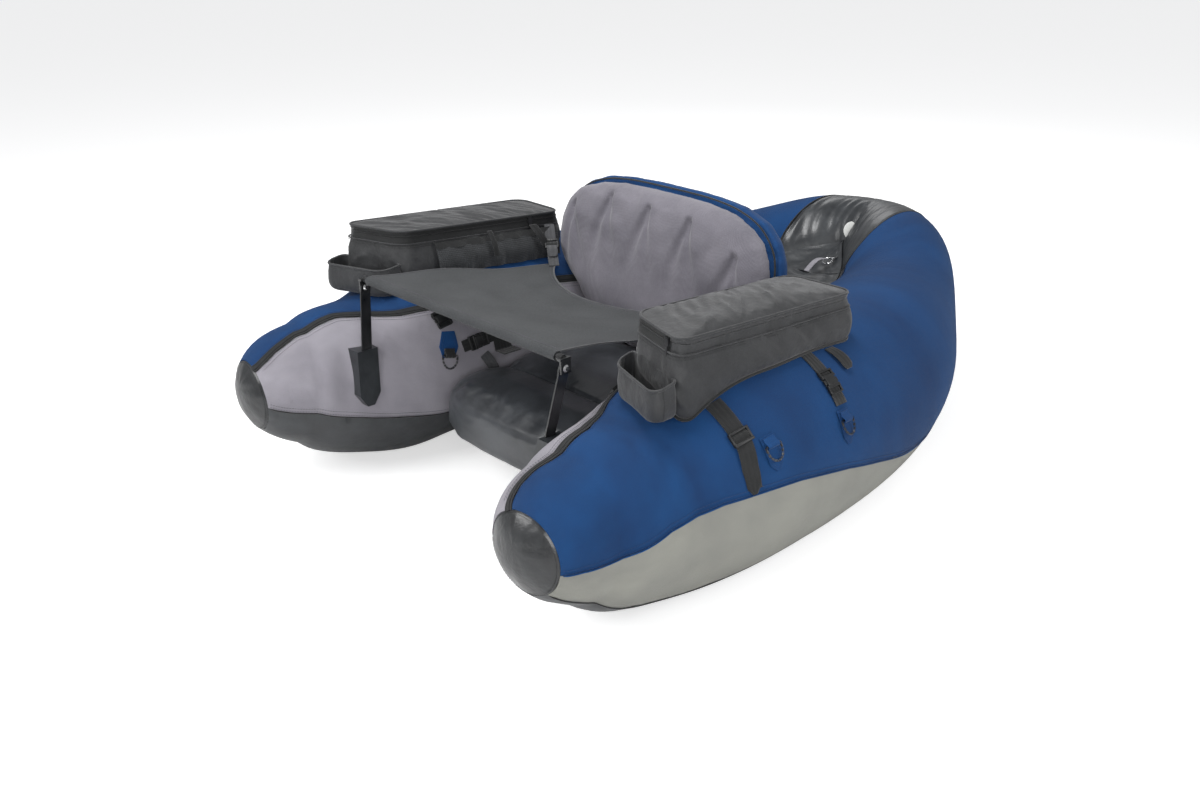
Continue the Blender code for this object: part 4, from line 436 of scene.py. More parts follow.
def cordPiece(name, path, radius, material, body="hull", sides=10):
    # a round cord or piping through the path's points
    path = np.asarray(path, float)
    step = np.linalg.norm(np.diff(path, axis=0), axis=1)
    length = step.sum()
    run = np.gradient(path, axis=0)
    run /= np.linalg.norm(run, axis=1)[:, None]
    out = np.cross(run, (0.02, 0.03, 1.0))
    out /= np.linalg.norm(out, axis=1)[:, None]
    up = np.cross(out, run)
    last = len(path) - 1

    def place(along, across):
        index = np.rint(along * last).astype(int)
        turn = across * math.tau
        ends = np.where((index == 0) | (index == last), 0.55, 1.0) * radius
        ray = out[index] * np.cos(turn)[:, None] + up[index] * np.sin(turn)[:, None]
        return path[index] + ray * ends[:, None]

    piece = gridPiece(name, last, sides, place, (length, math.tau * radius), closed=True)
    closeEnds(piece)
    return dress(piece, material, body)


def stitches(name, path, lift, material, body="hull", pitch=0.0046, radius=0.00042):
    # a row of thread stitches: path holds points, and lift their outward directions
    path = np.asarray(path, float)
    lift = np.asarray(lift, float)
    travel = np.concatenate([[0], np.cumsum(np.linalg.norm(np.diff(path, axis=0), axis=1))])
    count = max(int(travel[-1] / pitch), 1)
    centres = (np.arange(count) + 0.5) * pitch
    at = [np.array([np.interp(centres + shift, travel, path[:, k]) for k in range(3)]).T
          for shift in (-0.36 * pitch, -0.2 * pitch, 0.2 * pitch, 0.36 * pitch)]
    up = np.array([np.interp(centres, travel, lift[:, k]) for k in range(3)]).T
    run = at[3] - at[0]
    run /= np.linalg.norm(run, axis=1)[:, None]
    out = np.cross(run, up)
    out /= np.linalg.norm(out, axis=1)[:, None]
    rings = []
    for centre, swell in zip(at, (0.3, 1.0, 1.0, 0.3)):
        for k in range(5):
            turn = k / 5 * math.tau
            ray = out * math.cos(turn) + up * math.sin(turn)
            rings.append(centre + (ray * swell + up * 0.3) * radius)
    rings = np.array(rings).transpose(1, 0, 2).reshape(-1, 3)
    faces = []
    for i in range(count):
        base = i * 20
        faces.append([base + 4 - k for k in range(5)])
        faces.append([base + 15 + k for k in range(5)])
        for low in (base, base + 5, base + 10):
            faces += [[low + k, low + (k + 1) % 5, low + 5 + (k + 1) % 5, low + 5 + k] for k in range(5)]
    mesh = bpy.data.meshes.new(name)
    mesh.from_pydata(rings.tolist(), [], faces)
    piece = bpy.data.objects.new(name, mesh)
    scene.collection.objects.link(piece)
    return dress(piece, material, body)


def strapTurn(across):
    # once round a strap's cross section, which is flat with rounded edges
    turn = across * math.tau
    return [np.sign(wave) * np.abs(wave) ** (1 / 3) for wave in (np.cos(turn), np.sin(turn))]


def strip(name, place, sections):
    # a strap through (distance, bottom, top, width, sideways shift) rows
    rows = np.array(sections, float)
    count = max(int((rows[-1, 0] - rows[0, 0]) / 0.0025), 2)

    def ring(along, across):
        distance = rows[0, 0] + along * (rows[-1, 0] - rows[0, 0])
        bottom, top, width, shift = (np.interp(distance, rows[:, 0], rows[:, k]) for k in (1, 2, 3, 4))
        wide, high = strapTurn(across)
        return place(distance, shift + wide * width / 2, (bottom + top) / 2 + high * (top - bottom) / 2)

    piece = gridPiece(name, count, 20, ring, (rows[-1, 0] - rows[0, 0], 2 * rows[0, 3]), closed=True)
    closeEnds(piece)
    return piece


def roundedBlock(low, high, bevel):
    bpy.ops.mesh.primitive_cube_add(size=1)
    piece = bpy.context.object
    low, high = np.array(low), np.array(high)
    moveTo(piece, coordsOf(piece) * (high - low) + (high + low) / 2)
    roundEdges(piece, min(bevel, 0.45 * float((high - low).min())))
    applyAll(piece)
    return piece


def moulding(name, place, blocks, bevel=0.0011):
    # a moulded fitting from rounded blocks (low corner, high corner) as distance, sideways, height
    piece = joined(name, [roundedBlock(low, high, bevel) for low, high in blocks])
    flat = coordsOf(piece)
    moveTo(piece, place(flat[:, 0], flat[:, 1], flat[:, 2]))
    return piece


# The tube's shape, from the same shares as the solids

tube = {"length": 1.42, "width": 1.094, "radius": 0.174, "floorFlat": 0.0020,
        "capAngle": 39, "capTilt": 11, "zipWidth": 0.016, "sternSeam": 0.080, "seamGap": 0.0008,
        "sternSpread": 0.022, "cover": 0.0011, "bladderInset": 0.0077,
        # across as a share of the spread, along as a share of the run, keel and radius as radius shares
        "stations": [
            (1.019, 0.000, 0.402, 0.586), (0.992, 0.113, 0.057, 0.856), (1.000, 0.231, 0.000, 1.000),
            (0.987, 0.374, 0.000, 1.000), (0.914, 0.527, 0.000, 0.971), (0.759, 0.682, 0.115, 0.914),
            (0.534, 0.830, 0.471, 0.724), (0.257, 0.947, 0.730, 0.684), (0.000, 1.000, 0.897, 0.592)],
        # each seam's angle round the tube, from its crest outwards, by station
        "outer": [(-0.6, 118), (-0.35, 104), (-0.1, 96), (0.1, 90), (0.5, 80), (0.9, 76), (1.3, 76),
                  (1.7, 79), (2.2, 83), (2.8, 90), (3.3, 98), (3.8, 108), (4.6, 120), (5.6, 130), (8.0, 138)],
        "keelOuter": [(-0.6, 152), (0.0, 144), (4.0, 144), (6.0, 152), (8.0, 158)],
        "keelInner": [(-0.6, -107), (0.0, -103), (0.5, -105), (0.95, -108), (1.4, -114), (2.0, -118),
                      (5.0, -122), (8.0, -126)],
        "zip": [(-0.62, -42), (-0.37, -30), (-0.11, -20), (0.4, -17), (0.86, -25), (1.3, -37), (1.7, -44),
                (2.5, -47), (5.0, -56), (8.0, -78)]}


def splineThrough(values):
    values = np.asarray(values, float)
    count = len(values)
    system = np.eye(count)
    target = np.zeros(count)
    for i in range(1, count - 1):
        system[i, i - 1:i + 2] = (1, 4, 1)
        target[i] = 6 * (values[i - 1] - 2 * values[i] + values[i + 1])
    bend = np.linalg.solve(system, target)

    def at(place):
        place = np.clip(np.asarray(place, float), 0, count - 1)
        i = np.minimum(place.astype(int), count - 2)
        b = place - i
        a = 1 - b
        return a * values[i] + b * values[i + 1] + ((a ** 3 - a) * bend[i] + (b ** 3 - b) * bend[i + 1]) / 6

    return at


def tubeCurves():
    shares = np.array(tube["stations"])
    radius = tube["radius"]
    spread = tube["width"] / 2 - radius
    nose = -tube["length"] / 2 + shares[0, 3] * radius
    stern = tube["length"] / 2 - shares[-1, 3] * radius
    across = shares[:, 0] * spread
    along = nose + shares[:, 1] * (stern - nose)
    thick = shares[:, 3] * radius
    height = shares[:, 2] * radius + thick - tube["floorFlat"]
    turned = [np.concatenate([values, values[-2::-1] * sign])
              for values, sign in ((across, -1), (along, 1), (height, 1), (thick, 1))]
    return [splineThrough(values) for values in turned]


tubeAcross, tubeAlong, tubeHeight, tubeThick = tubeCurves()
sternStation = len(tube["stations"]) - 1

noseFill = {"station": 0.22, "before": 0.27, "behind": 0.50, "height": 0.0140}
pocketFlat = {"station": 0.52, "reach": 0.35, "angle": -72, "halfAngle": 32, "share": 0.95}
swells = {"keel": {"station": 1.15, "reach": 0.45, "angle": -152, "height": 0.008},
          "crest": {"station": 1.32, "reach": 0.50, "angle": 5, "height": -0.011}}


def noseSwell(station, angle):
    # the nose is rounder than the solids' nose, except where the bar pocket hangs
    # behind it the crest falls lower and the inner keel fills out
    reach = np.where(station < noseFill["station"], noseFill["before"], noseFill["behind"])
    swell = noseFill["height"] * np.exp(-((station - noseFill["station"]) / reach) ** 2)
    fromPocket = (angle - pocketFlat["angle"] + 180) % 360 - 180
    pocket = np.exp(-(fromPocket / pocketFlat["halfAngle"]) ** 4
                    - ((station - pocketFlat["station"]) / pocketFlat["reach"]) ** 4)
    swell = swell * (1 - pocketFlat["share"] * pocket)
    for spot in swells.values():
        facing = np.maximum(np.cos(np.radians(angle - spot["angle"])), 0) ** 3
        swell = swell + spot["height"] * np.exp(-((station - spot["station"]) / spot["reach"]) ** 2) * facing
    return swell


def sternSeam(angle):
    # the stern band is wider over the crest than inside the U
    return tube["sternSeam"] + tube["sternSpread"] * np.cos(np.radians(angle))


def axisAt(station):
    return np.stack([tubeAcross(station), tubeAlong(station), tubeHeight(station)], -1)


def stationLength(station):
    # how far the tube's middle line runs in one station here
    return np.linalg.norm(axisAt(station + 0.01) - axisAt(station - 0.01), axis=-1) / 0.02


def tubeFrame(station):
    station = np.asarray(station, float)
    forward = axisAt(np.minimum(station + 0.01, 2 * sternStation)) - axisAt(np.maximum(station - 0.01, 0))
    forward /= np.linalg.norm(forward, axis=-1, keepdims=True)
    up = np.array([0, 0, 1]) - forward * forward[..., 2:3]
    up /= np.linalg.norm(up, axis=-1, keepdims=True)
    return axisAt(station), forward, up, np.cross(forward, up)


def tubeRay(station, angle):
    centre, forward, up, out = tubeFrame(np.maximum(station, 0))
    turn = np.radians(angle)[..., None]
    ray = up * np.cos(turn) + out * np.sin(turn)
    polar = ((1 + np.minimum(station, 0)) * math.pi / 2)[..., None]
    return centre, ray * np.sin(polar) - forward * np.cos(polar)


def tubePoint(station, angle, lift=0.0):
    station = np.asarray(station, float) + np.zeros(np.shape(angle))
    angle = np.asarray(angle, float) + np.zeros(np.shape(station))
    centre, ray = tubeRay(station, angle)
    reach = tubeThick(np.maximum(station, 0)) + noseSwell(station, angle) + lift
    point = centre + ray * np.asarray(reach)[..., None]
    point[..., 2] = np.maximum(point[..., 2], 0.0)
    return point


def ringRadius(station):
    dome = tubeThick(0) * np.sin((1 + np.minimum(station, 0)) * math.pi / 2)
    return np.where(station < 0, dome, tubeThick(station))


def seamAt(name, station):
    stations, angles = zip(*tube[name])
    return np.interp(station, stations, angles)


def zipOuter(station):
    return seamAt("zip", station) + np.degrees(tube["zipWidth"] / ringRadius(station))


def capStation(angle):
    return (tube["capAngle"] - tube["capTilt"] * np.cos(np.radians(angle))) / 90 - 1


def stationAtX(angle, x):
    # the station, on the run in to the stern, where the tube's side is this far from the middle plane
    angle = np.asarray(angle, float)
    low = np.full(angle.shape, sternStation * 0.62)
    high = np.full(angle.shape, float(sternStation))
    for _ in range(24):
        middle = (low + high) / 2
        beyond = tubePoint(middle, angle)[..., 0] <= x
        high = np.where(beyond, middle, high)
        low = np.where(beyond, low, middle)
    return high


panelRun = {"noseShare": 0.1, "even": 4, "last": 7}


def panelStation(share, angle):
    # the first tenth covers the nose's dome, and the rest runs to the stern seam
    nose, even, last = panelRun["noseShare"], panelRun["even"], panelRun["last"]
    base = (share - nose) / (1 - nose) * last
    end = stationAtX(angle, sternSeam(angle))
    late = even + (base - even) * (end - even) / (last - even)
    return np.where(share < nose, capStation(angle) * (1 - share / nose), np.where(base <= even, base, late))


seamDip = {"depth": 0.0011, "reach": 0.010}


def panelLift(points, fromEdge, seed, puckers):
    # fabric drops into its seams, puckers beside them, and carries a few broad soft dents
    sunk = -seamDip["depth"] * np.exp(-(fromEdge / seamDip["reach"]) ** 2)
    pucker = puckers * np.exp(-fromEdge / 0.030) * (lumps(points, 0.016, seed) - 0.35)
    dents = 0.0011 * (lumps(points, 0.11, seed + 5) - 0.4)
    return sunk + np.minimum(pucker, 0.0003) + np.minimum(dents, 0.0)


# a point inside each stretch of the tube, which its faces look away from
insides = {"tube": (0.37, -0.1, 0.174), "nose": (0.37, -0.45, 0.16), "stern": (0.0, 0.61, 0.24)}


def faceFrom(piece, stretch, side=1):
    x, y, z = insides[stretch]
    faceOut(piece, (side * x, y, z))


def panelPiece(prefix, side, name, panel, seed):
    low, high = panel["low"], panel["high"]

    def place(along, across):
        station = np.zeros(along.shape)
        angle = low(station) + (high(station) - low(station)) * across
        for _ in range(6):
            station = panelStation(along, angle)
            angle = low(station) + (high(station) - low(station)) * across
        radius = np.maximum(ringRadius(station), 0.02)
        gap = np.degrees(tube["seamGap"] / 2 / radius)
        width = np.maximum(high(station) - low(station) - 2 * gap, 0.5)
        angle = low(station) + gap + width * across
        fromEdge = np.radians(np.minimum(across, 1 - across) * width) * radius
        rest = tubePoint(station, angle)
        lift = panelLift(mirrorOf(rest, side), fromEdge, seed + side, panel["puckers"])
        return mirrorOf(tubePoint(station, angle, lift), side)

    piece = gridPiece(prefix + name, 150, panel["rows"], place, (1.9, 0.30))
    faceFrom(piece, "tube", side)
    thicken(piece, tube["cover"])
    return dress(piece, panel["material"], "hull", (f"{prefix}_{panel['node']}",))


def seamPath(side, name, shift, lift):
    # points and outward directions beside a seam, this far from it round the tube
    stations = np.linspace(-0.55, 7.4, 420)
    angle = zipOuter(stations) if name == "zipOuter" else seamAt(name, stations)
    angle = angle + np.degrees(shift / np.maximum(ringRadius(stations), 0.03))
    last = stationAtX(angle, sternSeam(angle))
    first = capStation(angle)
    keep = (stations > first + 0.02) & (stations < last - 0.02)
    stations, angle = stations[keep], angle[keep]
    points = tubePoint(stations, angle, lift)
    return mirrorOf(points, side), mirrorOf(tubeRay(stations, angle)[1], side)


def seamLine(name):
    return lambda station: seamAt(name, station)


panels = {
    "TopCover": {"low": zipOuter, "high": seamLine("outer"), "rows": 34, "puckers": 0.0012,
                 "material": "bluePolyester", "slot": "blue_polyester", "node": "top_cover"},
    "LowerCover": {"low": seamLine("outer"), "high": seamLine("keelOuter"), "rows": 20, "puckers": 0.0012,
                   "material": "paleCoatedFabric", "slot": "pale_coated_fabric", "node": "lower_cover"},
    "BottomCover": {"low": seamLine("keelOuter"), "high": lambda station: seamAt("keelInner", station) + 360,
                    "rows": 28, "puckers": 0.0030, "material": "blackVinyl", "slot": "black_coated_fabric",
                    "node": "bottom_cover"},
    "InnerCover": {"low": seamLine("keelInner"), "high": seamLine("zip"), "rows": 26, "puckers": 0.0012,
                   "material": "greyPolyester", "slot": "grey_polyester", "node": "inner_cover"},
}
seamRows = [
    # seam, distance beside it, thread, slot
    ("outer", -0.0035, "blueThread", "blue_polyester"),
    ("outer", -0.0095, "blueThread", "blue_polyester"),
    ("zipOuter", 0.0035, "blueThread", "blue_polyester"),
    ("zip", -0.0035, "greyThread", "grey_polyester"),
    ("zip", -0.0095, "greyThread", "grey_polyester"),
    ("keelInner", 0.0035, "greyThread", "grey_polyester"),
    ("keelInner", 0.0090, "greyThread", "grey_polyester"),
]
seamWelts = [
    # seam, piece, radius, material, slot
    ("outer", "OuterSeamWelt", 0.0011, "blueQuilt", "blue_polyester"),
    ("keelOuter", "KeelOuterWelt", 0.0012, "blackWebbing", "black_webbing"),
    ("keelInner", "KeelInnerWelt", 0.0012, "blackWebbing", "black_webbing"),
]
# half the coil's width and its rise over the tape, and each tape's sewn edge
coverZip = {"coil": 0.0030, "rise": 0.0012, "sunk": 0.0006, "edge": 0.0062, "edgeReach": 0.0012}


def tubeSide(side):
    prefix = sideWord(side)
    for index, (name, panel) in enumerate(panels.items()):
        panelPiece(prefix, side, name, panel, 3 * index)

    def zipBand(along, across):
        station = panelStation(along, seamAt("zip", panelRun["last"] * along) + 2)
        width = tube["zipWidth"] - tube["seamGap"]
        inner = seamAt("zip", station) + np.degrees(tube["seamGap"] / 2 / ringRadius(station))
        angle = inner + np.degrees(width * across / ringRadius(station))
        fromMiddle = np.abs(across - 0.5) * width
        ridge = np.exp(-((fromMiddle - coverZip["edge"]) / coverZip["edgeReach"]) ** 2)
        coil = np.where(fromMiddle < coverZip["coil"], coverZip["rise"], 0.0)
        return mirrorOf(tubePoint(station, angle, coil + coverZip["sunk"] * (ridge - 1)), side)

    band = gridPiece(prefix + "CoverZip", 260, 24, zipBand, (1.9, tube["zipWidth"]))
    faceFrom(band, "tube", side)
    thicken(band, tube["cover"])
    dress(band, "zipTape", "hull", (prefix + "_cover_zip",), 30)

    rows = {}
    for seam, shift, thread, slotName in seamRows:
        path, lift = seamPath(side, seam, shift, -0.0006)
        rows.setdefault((thread, slotName), []).append(
            stitches(f"{prefix}{seam}{thread}{abs(int(shift * 10000))}", path, lift, thread))
    for (thread, slotName), row in rows.items():
        joined(prefix + thread[0].upper() + thread[1:] + "Stitches", row)
    for seam, name, radius, look, slotName in seamWelts:
        path = seamPath(side, seam, 0.0, -0.0007)[0]
        cordPiece(prefix + name, path[::2], radius, look)

    def cap(along, across):
        angle = across * 360 - 180
        station = -1 + (capStation(angle) - 0.004 + 1) * along
        turn = np.radians(angle)
        around = np.stack([np.cos(turn) * 2.2, np.sin(turn) * 2.2, along * 0.35], -1)
        creases = 0.0016 * along * (lumps(around, 1.0, 9 + side) - 0.3)
        rim = -0.0010 * smoothStep((along - 0.93) / 0.07)
        return mirrorOf(tubePoint(station, angle, np.minimum(creases, 0.0002) + rim), side)

    nose = gridPiece(prefix + "NoseCap", 30, 120, cap, (0.16, 0.8), closed=True)
    faceFrom(nose, "nose", side)
    thicken(nose, tube["cover"])
    # the nose cap's vinyl carries painted shade in its colour
    dress(nose, "smokeVinyl", "hull", (prefix + "_nose_cap",))
    angles = np.linspace(-180, 180, 140)
    rim = capStation(angles) - 0.030
    stitches(prefix + "NoseCapStitches", mirrorOf(tubePoint(rim, angles, 0.0), side),
             mirrorOf(tubeRay(rim, angles)[1], side), "blackThread")


for side in (1, -1):
    tubeSide(side)
print("the tube's covers are made")


def airBladder(side):
    # the inflated bladder fills its cover, and ends at the middle of the stern against the other one
    prefix = sideWord(side)

    def place(along, across):
        angle = across * 360 - 180
        end = stationAtX(angle, 0.002)
        nose = panelRun["noseShare"]
        station = np.where(along < nose, 0.98 * (along / nose - 1), (along - nose) / (1 - nose) * end)
        return mirrorOf(tubePoint(station, angle, -tube["bladderInset"]), side)

    piece = gridPiece(prefix + "AirBladder", 110, 72, place, (1.9, 1.0), closed=True)
    closeEnds(piece)
    faceFrom(piece, "tube", side)
    dress(piece, "clearUrethane", "hull", (prefix + "_air_bladder",))


for side in (1, -1):
    airBladder(side)


def sternCover():
    def place(along, across):
        angle = across * 360 - 180
        half = sternSeam(angle) - tube["seamGap"] / 2
        x = half * (1 - 2 * along)
        station = stationAtX(angle, np.abs(x))
        station = np.where(x < 0, 2 * sternStation - station, station)
        rest = tubePoint(station, angle)
        fromEdge = half - np.abs(x)
        # the band is drawn tight, so creases run from seam to seam over its front and top
        slanted = np.stack([(rest[:, 0] + 0.35 * rest[:, 2]) / 0.013, np.radians(angle) / 0.6, 0 * angle], -1)
        inside = np.clip(np.cos(np.radians(angle + 50)), 0, 1)
        folds = np.abs(lumps(slanted, 1.0, 31)) * 1.4 + 0.5 * np.abs(lumps(slanted * 0.45, 1.0, 37))
        lift = -0.0010 * np.exp(-(fromEdge / 0.006) ** 2) - 0.0034 * inside * folds
        return tubePoint(station, angle, np.minimum(lift, 0.0004))

    cover = gridPiece("sternCover", 60, 150, place, (0.16, 0.8), closed=True)
    faceFrom(cover, "stern")
    thicken(cover, tube["cover"])
    dress(cover, "blackVinyl", "hull", ("stern_cover",))
    for side in (1, -1):
        word = sideWord(side).capitalize()
        angles = np.linspace(-180, 180, 160)
        seam, inner = (stationAtX(angles, sternSeam(angles) - inset) for inset in (0.0, 0.005))
        if side < 0:
            seam, inner = 2 * sternStation - seam, 2 * sternStation - inner
        cordPiece("sternSeamWelt" + word, tubePoint(seam, angles, -0.0003), 0.0011, "blackWebbing")
        stitches("sternStitches" + word, tubePoint(inner, angles, 0.0), tubeRay(inner, angles)[1],
                 "blackThread")


sternCover()


def sternPatch():
    # a round patch is welded to the stern band, beside its middle
    patch = {"angle": -59.0, "shift": 0.044, "radius": 0.0205}
    thick = float(tubeThick(sternStation))
    speed = float(stationLength(sternStation))

    def place(along, across):
        turn = across * math.tau
        radius = patch["radius"] * along
        station = sternStation + (patch["shift"] + radius * np.cos(turn)) / speed
        angle = patch["angle"] + np.degrees(radius * np.sin(turn) / thick)
        edge = smoothStep((1 - along) / 0.06)
        weld = 0.0006 * np.exp(-((along - 0.86) / 0.02) ** 2)
        return tubePoint(station, angle, 0.0009 + 0.0008 * edge - weld)

    piece = gridPiece("sternPatch", 40, 64, place, (0.03, 0.14), closed=True)
    faceFrom(piece, "stern")
    thicken(piece, 0.0010)
    dress(piece, "paleVinyl")


sternPatch()
print("the stern is made")

# Padded pieces

# the pressure that fills a pad, and the furthest that its cloth may move
padding = {"pressure": 4.0, "limit": 0.0060}


def cadCopy(name, source):
    piece = bpy.data.objects.new(name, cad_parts[source].data.copy())
    scene.collection.objects.link(piece)
    return piece


def softened(piece, voxel, sideShare):
    # the solid's facets are worn off first, then the pad swells, less towards the tubes beside it
    only(piece)
    piece.data.remesh_voxel_size = voxel
    bpy.ops.object.voxel_remesh()
    soft = piece.modifiers.new("Soft", 'SMOOTH')
    soft.factor = 0.6
    soft.iterations = 10
    applyAll(piece)
    before = coordsOf(piece)
    cloth = piece.modifiers.new("Cloth", 'CLOTH')
    cloth.settings.quality = 4
    cloth.settings.mass = 0.3
    cloth.settings.use_pressure = True
    cloth.settings.uniform_pressure_force = padding["pressure"]
    cloth.settings.effector_weights.gravity = 0
    for step in range(1, 21):
        scene.frame_set(step)
    applyAll(piece)
    scene.frame_set(1)
    move = (coordsOf(piece) - before) * np.array([sideShare, 1, 1])
    far = np.linalg.norm(move, axis=1)
    held = np.minimum(far, padding["limit"]) / np.maximum(far, 1e-9)
    moveTo(piece, before + move * held[:, None])
    fine = piece.modifiers.new("Fine", 'SUBSURF')
    fine.levels = 1
    applyAll(piece)


def push(piece, amounts):
    moveTo(piece, coordsOf(piece) + normalsOf(piece) * np.asarray(amounts)[:, None])


seat = {"front": -0.455, "channel": -0.305, "halfWidth": 0.21, "top": 0.192}


def seatCushion():
    piece = cadCopy("seatCushion", "seat_cushion")
    softened(piece, 0.006, 0.15)
    points, normals = coordsOf(piece), normalsOf(piece)
    fromChannel = points[:, 1] - seat["channel"]
    onTop = smoothStep((normals[:, 2] - 0.1) / 0.5)
    channel = -0.0045 * np.exp(-(fromChannel / 0.0045) ** 2) * onTop
    pucker = np.clip(lumps(points * np.array([1, 0.25, 1]), 0.014, 3), 0, 1)
    puckers = -0.0022 * np.exp(-np.abs(fromChannel) / 0.020) * onTop * pucker
    # welded ends draw the coated cloth into folds that run in from the corners
    fromFront = (points[:, 1] - seat["front"] - 0.02).clip(0, 1)
    corner = np.exp(-fromFront ** 2 / 0.004) * np.abs(points[:, 0]) / seat["halfWidth"]
    folds = -0.0050 * corner * np.clip(lumps(points * np.array([0.35, 0.45, 1.6]), 0.022, 6), 0, 1)
    push(piece, channel + puckers + folds + 0.0008 * lumps(points * np.array([0.3, 1, 1]), 0.05, 8))
    # the seat's vinyl carries a painted sheen in its colour
    dress(piece, "seatVinyl", "hull", ("seat_cushion",), 80)


seatCushion()

backrest = {"hingeY": -0.080, "hingeZ": 0.1848, "lean": 9.0, "halfWidth": 0.272, "middle": 0.16,
            "upper": 0.17,
            # each pleat's place as a share of the half width, its point's drop below the top seam, its lean
            "pleats": [(-0.80, 0.040, 0.10), (-0.42, 0.030, -0.03), (-0.02, 0.038, -0.10),
                       (0.36, 0.042, -0.06), (0.78, 0.062, -0.16)]}


def backrestPlane(points):
    lean = math.radians(backrest["lean"])
    y = points[:, 1] - backrest["hingeY"]
    z = points[:, 2] - backrest["hingeZ"]
    return y * math.cos(lean) - z * math.sin(lean), y * math.sin(lean) + z * math.cos(lean)


def backrestOutline():
    # the edge of the front half's flat face, in order round it
    points = coordsOf(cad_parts["backrest_front"])
    depth, height = backrestPlane(points)
    flat = points[np.abs(depth) < 0.0025]
    height = height[np.abs(depth) < 0.0025]
    around = np.arctan2(height - backrest["middle"], flat[:, 0])
    reach = np.hypot(height - backrest["middle"], flat[:, 0])
    bins = np.rint(around / math.tau * 32).astype(int) % 32
    edge = np.array([flat[bins == k][np.argmax(reach[bins == k])] for k in range(32) if (bins == k).any()])
    turns = np.linspace(0, len(edge), 240, endpoint=False)
    i = turns.astype(int)
    t = (turns - i)[:, None]
    p0, p1, p2, p3 = (edge[(i + k) % len(edge)] for k in (-1, 0, 1, 2))
    return 0.5 * (2 * p1 + (p2 - p0) * t + (2 * p0 - 5 * p1 + 4 * p2 - p3) * t ** 2
                  + (3 * p1 - p0 - 3 * p2 + p3) * t ** 3)


def topSeamHeight(outline, x):
    height = backrestPlane(outline)[1]
    upper = height > backrest["upper"]
    order = np.argsort(outline[upper, 0])
    return np.interp(x, outline[upper, 0][order], height[upper][order])


def backrestPieces():
    outline = backrestOutline()
    # the backrest's front takes the grey cloth that is painted darker for shade
    for name, source, look, slotName in (("backrestFront", "backrest_front", "greyQuilt", "grey_polyester"),
                                         ("backrestBack", "backrest_back", "blueQuilt", "blue_polyester")):
        piece = cadCopy(name, source)
        softened(piece, 0.0055, 0.3)
        points, normals = coordsOf(piece), normalsOf(piece)
        drop = topSeamHeight(outline, points[:, 0]) - backrestPlane(points)[1]
        pucker = np.clip(lumps(points * np.array([1, 0.3, 0.3]), 0.013, 4), 0, 1)
        amounts = 0.0009 * lumps(points, 0.05, 2) - 0.0012 * np.exp(-np.abs(drop) / 0.022) * pucker
        if source == "backrest_front":
            facing = smoothStep((-normals[:, 1] - 0.15) / 0.4)
            for share, start, lean in backrest["pleats"]:
                below = np.maximum(drop - start, 0)
                above = np.maximum(start - drop, 0)
                off = points[:, 0] - share * backrest["halfWidth"] - lean * below
                fade = np.exp(-(above / 0.007) ** 2) * np.exp(-(below / 0.105) ** 2)
                width = 0.0055 + 0.10 * below
                # each pleat opens downwards into two legs
                legs = sum(np.exp(-((off - hand * 0.24 * below) / width) ** 2) for hand in (1, -1))
                amounts = amounts - 0.0085 * facing * fade * np.minimum(legs, 1.1)
        push(piece, amounts)
        dress(piece, look, "backrest", (source,), 80)
    seam = np.vstack([outline, outline[:2]])
    cordPiece("backrestPiping", seam, 0.0016, "blackWebbing", "backrest")


backrestPieces()
print("the seat and the backrest are made")

# Side bags

bag = {"length": 0.382, "width": 0.131, "corner": 0.026, "centreX": 0.372, "frontY": -0.426, "toe": -1.3,
       "slant": 18.0, "rim": 0.4145, "pitch": 3.5, "flare": 0.018, "endFlare": 0.25, "bulge": 0.0085,
       "wall": 0.0022, "skirt": 0.0080, "seatGap": 0.0036, "heart": 0.38, "strapUnder": 0.012,
       # the lid of the bag on the left stands fuller
       "crown": {1: 0.0160, -1: 0.0090}}
cup = {"width": 0.130, "depth": 0.044, "radius": 0.024, "backRadius": 0.008, "gap": 0.0051, "below": 0.050,
       "height": 0.056}


def tubeTopAt(x, y):
    # the height of the tube's upper side at a place on the floor plan, found along the tube's own surface
    stations = np.linspace(0, 7.6, 300)
    station = np.interp(y, tubeAlong(stations), stations)
    angle = np.degrees(np.arcsin(np.clip((x - tubeAcross(station)) / tubeThick(station), -0.9, 0.9)))
    for _ in range(12):
        point = tubePoint(station, angle)
        step = np.clip((y - point[..., 1]) / stationLength(station), -0.2, 0.2)
        station = np.clip(station + step, 0.02, 7.6)
        angle = np.clip(angle + 0.8 * np.degrees((x - point[..., 0]) / tubeThick(station)), -66, 66)
    return point[..., 2]


def roundedOutline(halfWidth, halfLength, radius, rounding=12):
    # a function of the share of the way round a rounded rectangle, from the middle of its outer side
    corners = [(halfWidth - radius, halfLength - radius, 0), (radius - halfWidth, halfLength - radius, 90),
               (radius - halfWidth, radius - halfLength, 180), (halfWidth - radius, radius - halfLength, 270)]
    points = [(halfWidth, 0.0)]
    for x, y, start in corners:
        for k in range(rounding + 1):
            turn = math.radians(start + 90 * k / rounding)
            points.append((x + radius * math.cos(turn), y + radius * math.sin(turn)))
    points = np.array(points + [(halfWidth, 0.0)])
    travel = np.concatenate([[0], np.cumsum(np.linalg.norm(np.diff(points, axis=0), axis=1))])

    def at(share):
        place = np.asarray(share) % 1.0 * travel[-1]
        return np.interp(place, travel, points[:, 0]), np.interp(place, travel, points[:, 1])

    return at


bagOutline = roundedOutline(bag["width"] / 2, bag["length"] / 2, bag["corner"])
# where the zip runs as shares of the way round, and how fast the wall stands out below it
zipRun = {"start": 0.235, "end": 0.790, "thickness": 0.0009, "spread": 0.34}


def cupOutline(share):
    front = roundedOutline(cup["width"] / 2, cup["depth"] / 2, cup["radius"])(share)
    back = roundedOutline(cup["width"] / 2, cup["depth"] / 2, cup["backRadius"])(share)
    a = np.where(front[1] > 0, back[0], front[0])
    b = np.where(front[1] > 0, back[1], front[1])
    return a, b - bag["length"] / 2 - cup["depth"] / 2 - cup["gap"]


